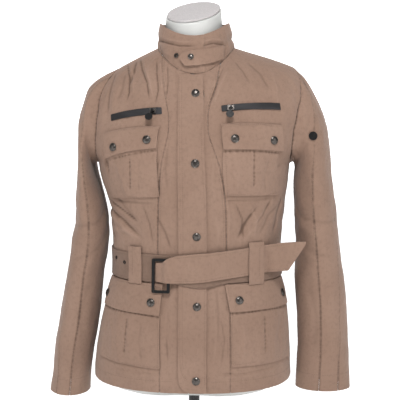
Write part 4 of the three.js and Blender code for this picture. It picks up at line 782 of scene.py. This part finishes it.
FLAP_EDGES = {
    "right_chest_flap": [(-164, 485.7), (-131, 495), (-55.7, 498), (-62, 458), (-97, 453.4),
                         (-130.5, 445.6), (-160, 436.8)],
    "left_chest_flap": [(56, 503), (125, 505.7), (167, 500.7), (171, 452), (115, 456.7), (60.4, 456.2)],
    "right_hip_flap": [(-158, 206.7), (-110, 205), (-52, 200), (-58.5, 144.5), (-95, 149.3), (-169, 149)],
    "left_hip_flap": [(65, 207.6), (120, 208.5), (176, 206), (185, 151), (135, 155.4), (74, 152)],
}
POCKET_EDGES = {
    "right_chest_pocket": [(-151, 430), (-151, 369), (-104, 363), (-57, 363), (-58, 450)],
    "left_chest_pocket": [(61, 450), (65, 371), (117, 369), (163.5, 369), (163.5, 445)],
    "right_hip_pocket": [(-185, 142), (-176, 53), (-143.6, 48.3), (-107.7, 47.2), (-57, 45), (-59, 140)],
    "left_hip_pocket": [(74.8, 148), (76.8, 50.7), (126.7, 53.2), (163.6, 55), (192, 49), (186, 146)],
}


def drawn_in(outline, amount):
    """An outline in millimetres with each corner moved towards the middle, and filled with steps."""
    outline = np.array(outline, dtype=float)
    middle = (outline.min(axis=0) + outline.max(axis=0)) / 2
    reach = (outline.max(axis=0) - outline.min(axis=0)) / 2
    corners = middle + (outline - middle) * (1 - amount / reach)
    steps = []
    for start, end in zip(corners[:-1], corners[1:]):
        count = max(2, int(np.linalg.norm(end - start) / 4))
        steps += [start + (end - start) * k / count for k in range(count)]
    steps.append(corners[-1])
    return steps


POCKET_CUTS = {
    # width, length, area
    "right_chest_pocket": (110, 116, 112.5),
    "left_chest_pocket": (120, 112, 125),
    "right_hip_pocket": (152, 132, 189),
    "left_hip_pocket": (156, 130, 193),
    "right_chest_flap": (118, 60, 55.6),
    "left_chest_flap": (128, 58, 64),
    "right_hip_flap": (168, 60, 89),
    "left_hip_flap": (170, 57, 84),
}
for node, cut in POCKET_CUTS.items():
    side = node.split("_")[0]
    below = [f"{side}_side_front"]
    if node.endswith("flap"):
        below.append(node.replace("flap", "pocket"))
    cut_as((pocket_cloth | flap_cloth)[node], *cut, "laid", *below)
for node, outline in FLAP_EDGES.items():
    closed = outline + outline[:1]
    lines = [on_front_of(drawn_in(closed, 4), 4), on_front_of(drawn_in(outline[:3], 8), 4)]
    stitched(f"{node}_stitching", lines, [flap_cloth[node]])
for node, outline in POCKET_EDGES.items():
    stitched(f"{node}_stitching", [on_front_of(drawn_in(outline, 3.5), 3)], [pocket_cloth[node]])
placket_lines = [
    [(-22, 590), (-19.5, 457), (-18, 328), (-20, 175), (-19, 52), (-14, 34), (4, 22)],
    [(-17.5, 590), (-15, 457), (-13.5, 328), (-15.5, 175), (-14.5, 56), (-10, 42)],
    [(18.5, 560), (20.5, 457), (27, 339), (26.5, 175), (27, 12)],
]
placket_lines = [np.array([[np.interp(h, [p[1] for p in reversed(line)], [p[0] for p in reversed(line)]), h]
                 for h in np.arange(line[0][1], line[-1][1], -4)]) for line in placket_lines]
stitched("placket_stitching", [on_front_of(line, 2.5) for line in placket_lines], [placket_cloth])


# The belt is a doubled twill strap in two sewn loops. Its free end comes up through the
# buckle, lies over the front and stands out past the left loop.
# The belt's strap uses the same twill at seven tenths of its brightness, which is painted shade.
belt_canvas_painted_shade = canvas_finish("belt_twill_painted_shade", 0.7)
belt_cloth = cloth_from("belt", belt_canvas_painted_shade, levels=2)
belt_end_cloth = cloth_from("belt_end", canvas, levels=3, calm=0.5)
loop_cloth = {}
for node in ("right_belt_loop", "left_belt_loop"):
    loop_cloth[node] = cloth_from(node, canvas, levels=3, calm=0.2)
cut_as(belt_cloth, 62, 880, 513, "laid", "right_side_front", "left_side_front", "back")
cut_as(belt_end_cloth, 56, 330, 156, "laid", "belt", "belt_buckle")
cut_as(loop_cloth["right_belt_loop"], 31, 78, 23, "laid", "belt")
cut_as(loop_cloth["left_belt_loop"], 35, 88, 29, "laid", "belt_end")


def along_strap(pieces, low, high, inset):
    """Two lines just inside the long edges of a strap that lies across the front, from x to x."""
    strap = surface_made_of(pieces)
    edges = ([], [])
    for x in np.arange(low, high, 4 if high > low else -4):
        column = []
        for z in np.arange(0.36, 0.50, 0.001):
            hit = strap.ray_cast(Vector((x * MM, -0.6, z)), Vector((0, 1, 0)), 0.62)
            if hit[0]:
                column.append(hit[0])
        if len(column) > 2.5 * inset:
            edges[0].append(column[int(inset)])
            edges[1].append(column[-1 - int(inset)])
    return [np.array(edge) for edge in edges if len(edge) > 1]


belt_lines = along_strap([belt_cloth], -150, -74, 4) + along_strap([belt_cloth], 40, 150, 4)
stitched("belt_stitching", belt_lines, [belt_cloth])
stitched("belt_end_stitching", along_strap([belt_end_cloth], -30, 190, 4), [belt_end_cloth])
for node, (low, high) in {"right_belt_loop": (-116, -94), "left_belt_loop": (108, 131)}.items():
    upright = [[(x, h) for h in range(216, 276, 4)] for x in (low + 1.5, high - 1.5)]
    stitched(f"{node}_stitching", [on_front_of(line, 12) for line in upright], [loop_cloth[node]])
TAB_EDGE = [(57, 624.5), (30, 616.5), (0, 613), (-12, 613), (-18.5, 625),
            (-11, 635), (0, 637.3), (30, 640.5), (57, 646.5)]
stitched("tab_stitching", [on_collar(TAB_EDGE)], [tab_cloth])


# The press-studs are domed caps of aged nickel with a rolled rim, clenched through the cloth.
nickel = Finish("aged_nickel", Metallic=1.0, Roughness=0.3)
tarnish = nickel.noise(260, 4, 0.6)
nickel.drive(Base_Color=nickel.blend(tarnish.above(0.4, 0.75), (0.11, 0.098, 0.09), (0.035, 0.03, 0.027)),
             Roughness=0.2 + tarnish * 0.25)
nickel.bump(tarnish, 0.00008, 0.6)


def standing_on(node):
    """How a small round CAD node sits: the centre of its underside and its outward direction."""
    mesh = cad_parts[node].data
    points = np.array([vertex.co for vertex in mesh.vertices], dtype=float)
    middle = (points.min(axis=0) + points.max(axis=0)) / 2
    areas = np.zeros((3, 3))
    for face in mesh.polygons:
        normal = np.array(face.normal)
        areas += face.area * np.outer(normal, normal)
    axis = np.linalg.eigh(areas)[1][:, 2]
    if axis @ from_body(middle[None])[0] < 0:
        axis = -axis
    height = (points - middle) @ axis
    low = points[height < height.min() + 0.0003]
    return Vector(low.mean(axis=0)), Vector(axis)


def placed(piece, node):
    """Puts a piece that was made standing on the floor's plane where a CAD node sits."""
    foot, axis = standing_on(node)
    turn = axis.to_track_quat("Z", "Y").to_matrix().to_4x4()
    piece.data.transform(Matrix.Translation(foot) @ turn)
    return piece


def stud_cap(name, radius):
    """A dome with a rolled rim, spun by insets from a disc."""
    bpy.ops.object.select_all(action="DESELECT")
    bpy.ops.mesh.primitive_cylinder_add(vertices=40, radius=radius * MM, depth=0.7 * MM,
                                        location=(0, 0, 0.35 * MM))
    cap = bpy.context.object
    cap.name = name
    bpy.ops.object.transform_apply(location=True)
    bpy.ops.object.mode_set(mode="EDIT")
    bpy.ops.mesh.select_mode(type="FACE")
    mesh = bmesh.from_edit_mesh(cap.data)
    for face in mesh.faces:
        face.select = face.normal.z > 0.9
    bmesh.update_edit_mesh(cap.data)
    for share, rise in ((0.035, 0.25), (0.055, -0.3), (0.1, 0.75), (0.2, 0.95),
                        (0.25, 0.5), (0.18, 0.15), (0.1, 0.02)):
        bpy.ops.mesh.inset(thickness=share * radius * MM, depth=rise * radius / 7.75 * MM)
    bpy.ops.object.mode_set(mode="OBJECT")
    bevel = cap.modifiers.new("rolled_rim", "BEVEL")
    bevel.width, bevel.segments = 0.2 * MM, 2
    bevel.limit_method, bevel.angle_limit = "ANGLE", math.radians(50)
    bpy.ops.object.modifier_apply(modifier="rolled_rim")
    bpy.ops.object.shade_smooth_by_angle(angle=math.radians(50))
    cap.data.materials.append(nickel.material)
    return cap


for node in [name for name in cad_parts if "snap" in name]:
    cap = stud_cap(f"stud_{node}", 5.5 if node == "collar_tab_snap" else 7.75)
    placed(cap, node)
    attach(cap, "jacket")
    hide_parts(node)


def fine_metal(node, finish, width):
    """A CAD node that stays, with its edges eased and its own finish."""
    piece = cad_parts[node]
    edge = piece.modifiers.new("eased_edge", "BEVEL")
    edge.width, edge.segments, edge.limit_method, edge.angle_limit = width * MM, 2, "ANGLE", math.radians(40)
    piece.data.materials.clear()
    piece.data.materials.append(finish)


# The collar tab's spare socket is a small nickel ring, clenched through the collar beside
# the press-stud.
fine_metal("collar_stud", nickel.material, 0.15)


# The buckle, the eyelets, the zip pulls and the sleeve disc are black coated metal, rubbed
# at the edges.
black = Finish("black_metal", Metallic=0.6, Roughness=0.35)
rub = black.noise(180, 4, 0.65)
black.drive(Base_Color=black.blend(rub.above(0.55, 0.8), (0.012, 0.011, 0.011), (0.05, 0.045, 0.042)),
            Roughness=0.26 + rub * 0.22)
black.bump(rub, 0.00006, 0.5)
for node, width in (("belt_buckle", 0.7), ("belt_eyelet_1", 0.15), ("belt_eyelet_2", 0.15), ("right_zip_pull", 0.3),
                    ("left_zip_pull", 0.3), ("left_sleeve_disc", 0.25)):
    fine_metal(node, black.material, width)


# The chest zips have a coated black tape, closed over the teeth, and a nickel slider.
tape = Finish("zip_tape", Roughness=0.6, Coat_Weight=0.04, Coat_Roughness=0.4, Specular_IOR_Level=0.3)
sheen = tape.noise(60, 3, 0.5, stretch=(0.2, 0.2, 1))
tape.drive(Base_Color=tape.blend(sheen.above(0.4, 0.7), (0.012, 0.011, 0.012), (0.028, 0.026, 0.028)),
           Roughness=0.55 + sheen * 0.2)
tape.bump(tape.noise(700, 2, 0.5), 0.0001, 0.6)
for side in ("right", "left"):
    zip_tape = cloth_from(f"{side}_zip_tape", tape.material, levels=3, calm=0)
    tape_width, tape_length, tape_area = (14, 114, 15) if side == "left" else (15, 106, 14.3)
    cut_as(zip_tape, tape_width, tape_length, tape_area, "laid", f"{side}_side_front")
    fine_metal(f"{side}_zip_slider", nickel.material, 0.35)


# The dress form is a white moulded shell with a satin skin, and its neck is capped with a
# grey disc.
shell = Finish("form_shell", Roughness=0.45)
cast = shell.noise(14, 3, 0.5)
shell.drive(Base_Color=shell.blend(cast.above(0.3, 0.8), (0.47, 0.47, 0.455), (0.52, 0.52, 0.505)),
            Roughness=0.4 + cast * 0.15)
shell.bump(shell.noise(300, 3, 0.6), 0.00012, 0.5)
cap_felt = Finish("neck_cap", Roughness=0.8)
nap = cap_felt.noise(350, 3, 0.6)
cap_felt.drive(Base_Color=cap_felt.blend(nap.above(0.35, 0.7), (0.42, 0.395, 0.395), (0.49, 0.465, 0.465)))
cap_felt.bump(nap, 0.0003, 0.7)
for node, finish, levels in (("form_torso", shell, 2), ("form_neck_cap", cap_felt, 2)):
    form = cloth_from(node, finish.material, levels=levels, soft=40, calm=0)
    "form_shell" if node == "form_torso" else "neck_cap"
    form.name = f"shown_{node}"


# The stand is a steel pole in a round steel base, both powder coated black. The pole goes up
# into the form.
powder = Finish("powder_coat", Roughness=0.5, Metallic=0.2)
speckle = powder.noise(900, 2, 0.5)
powder.drive(Base_Color=powder.blend(speckle.above(0.4, 0.7), (0.018, 0.018, 0.019), (0.03, 0.03, 0.031)),
             Roughness=0.42 + speckle * 0.2)
powder.bump(speckle, 0.00012, 0.7)
for node in ("stand_pole", "stand_base"):
    fine_metal(node, powder.material, 0.4)


# A white floor, a white wall and soft light from above the front, as in a product picture.
bpy.ops.mesh.primitive_plane_add(size=14, location=(0, 3, -0.0005))
floor = bpy.context.object
floor.name = "floor"
white = Finish("white_floor", Roughness=0.9, Emission_Color=(1, 1, 1, 1), Emission_Strength=0.6)
white.shader.inputs["Base Color"].default_value = (0.9, 0.9, 0.9, 1)
floor.data.materials.append(white.material)
bpy.ops.object.select_all(action="DESELECT")
bpy.ops.mesh.primitive_plane_add(size=30, location=(0, 9, 5), rotation=(math.radians(90), 0, 0))
wall = bpy.context.object
wall.name = "studio_wall"
paper = Finish("white_wall", Roughness=0.9, Emission_Color=(1, 1, 1, 1), Emission_Strength=1.0)
paper.shader.inputs["Base Color"].default_value = (0.9, 0.9, 0.9, 1)
wall.data.materials.append(paper.material)
world = bpy.data.worlds.new("studio")
bpy.context.scene.world = world
world.use_nodes = True
world.node_tree.nodes["Background"].inputs[0].default_value = (1, 1, 1, 1)
world.node_tree.nodes["Background"].inputs[1].default_value = 0.27
LIGHTS = [
    # name, place, size, watts
    ("key", (0.1, -1.5, 2.2), 0.6, 38),
    ("left_fill", (-1.7, -1.5, 0.9), 1.4, 8),
    ("right_fill", (1.7, -1.5, 0.9), 1.4, 10),
]
for name, place, size, watts in LIGHTS:
    bpy.ops.object.light_add(type="AREA", location=place)
    lamp = bpy.context.object
    lamp.name = name
    lamp.data.size = size
    lamp.data.energy = watts
    lamp.rotation_euler = (Vector((0, 0, 0.5)) - Vector(place)).to_track_quat("-Z", "Y").to_euler()
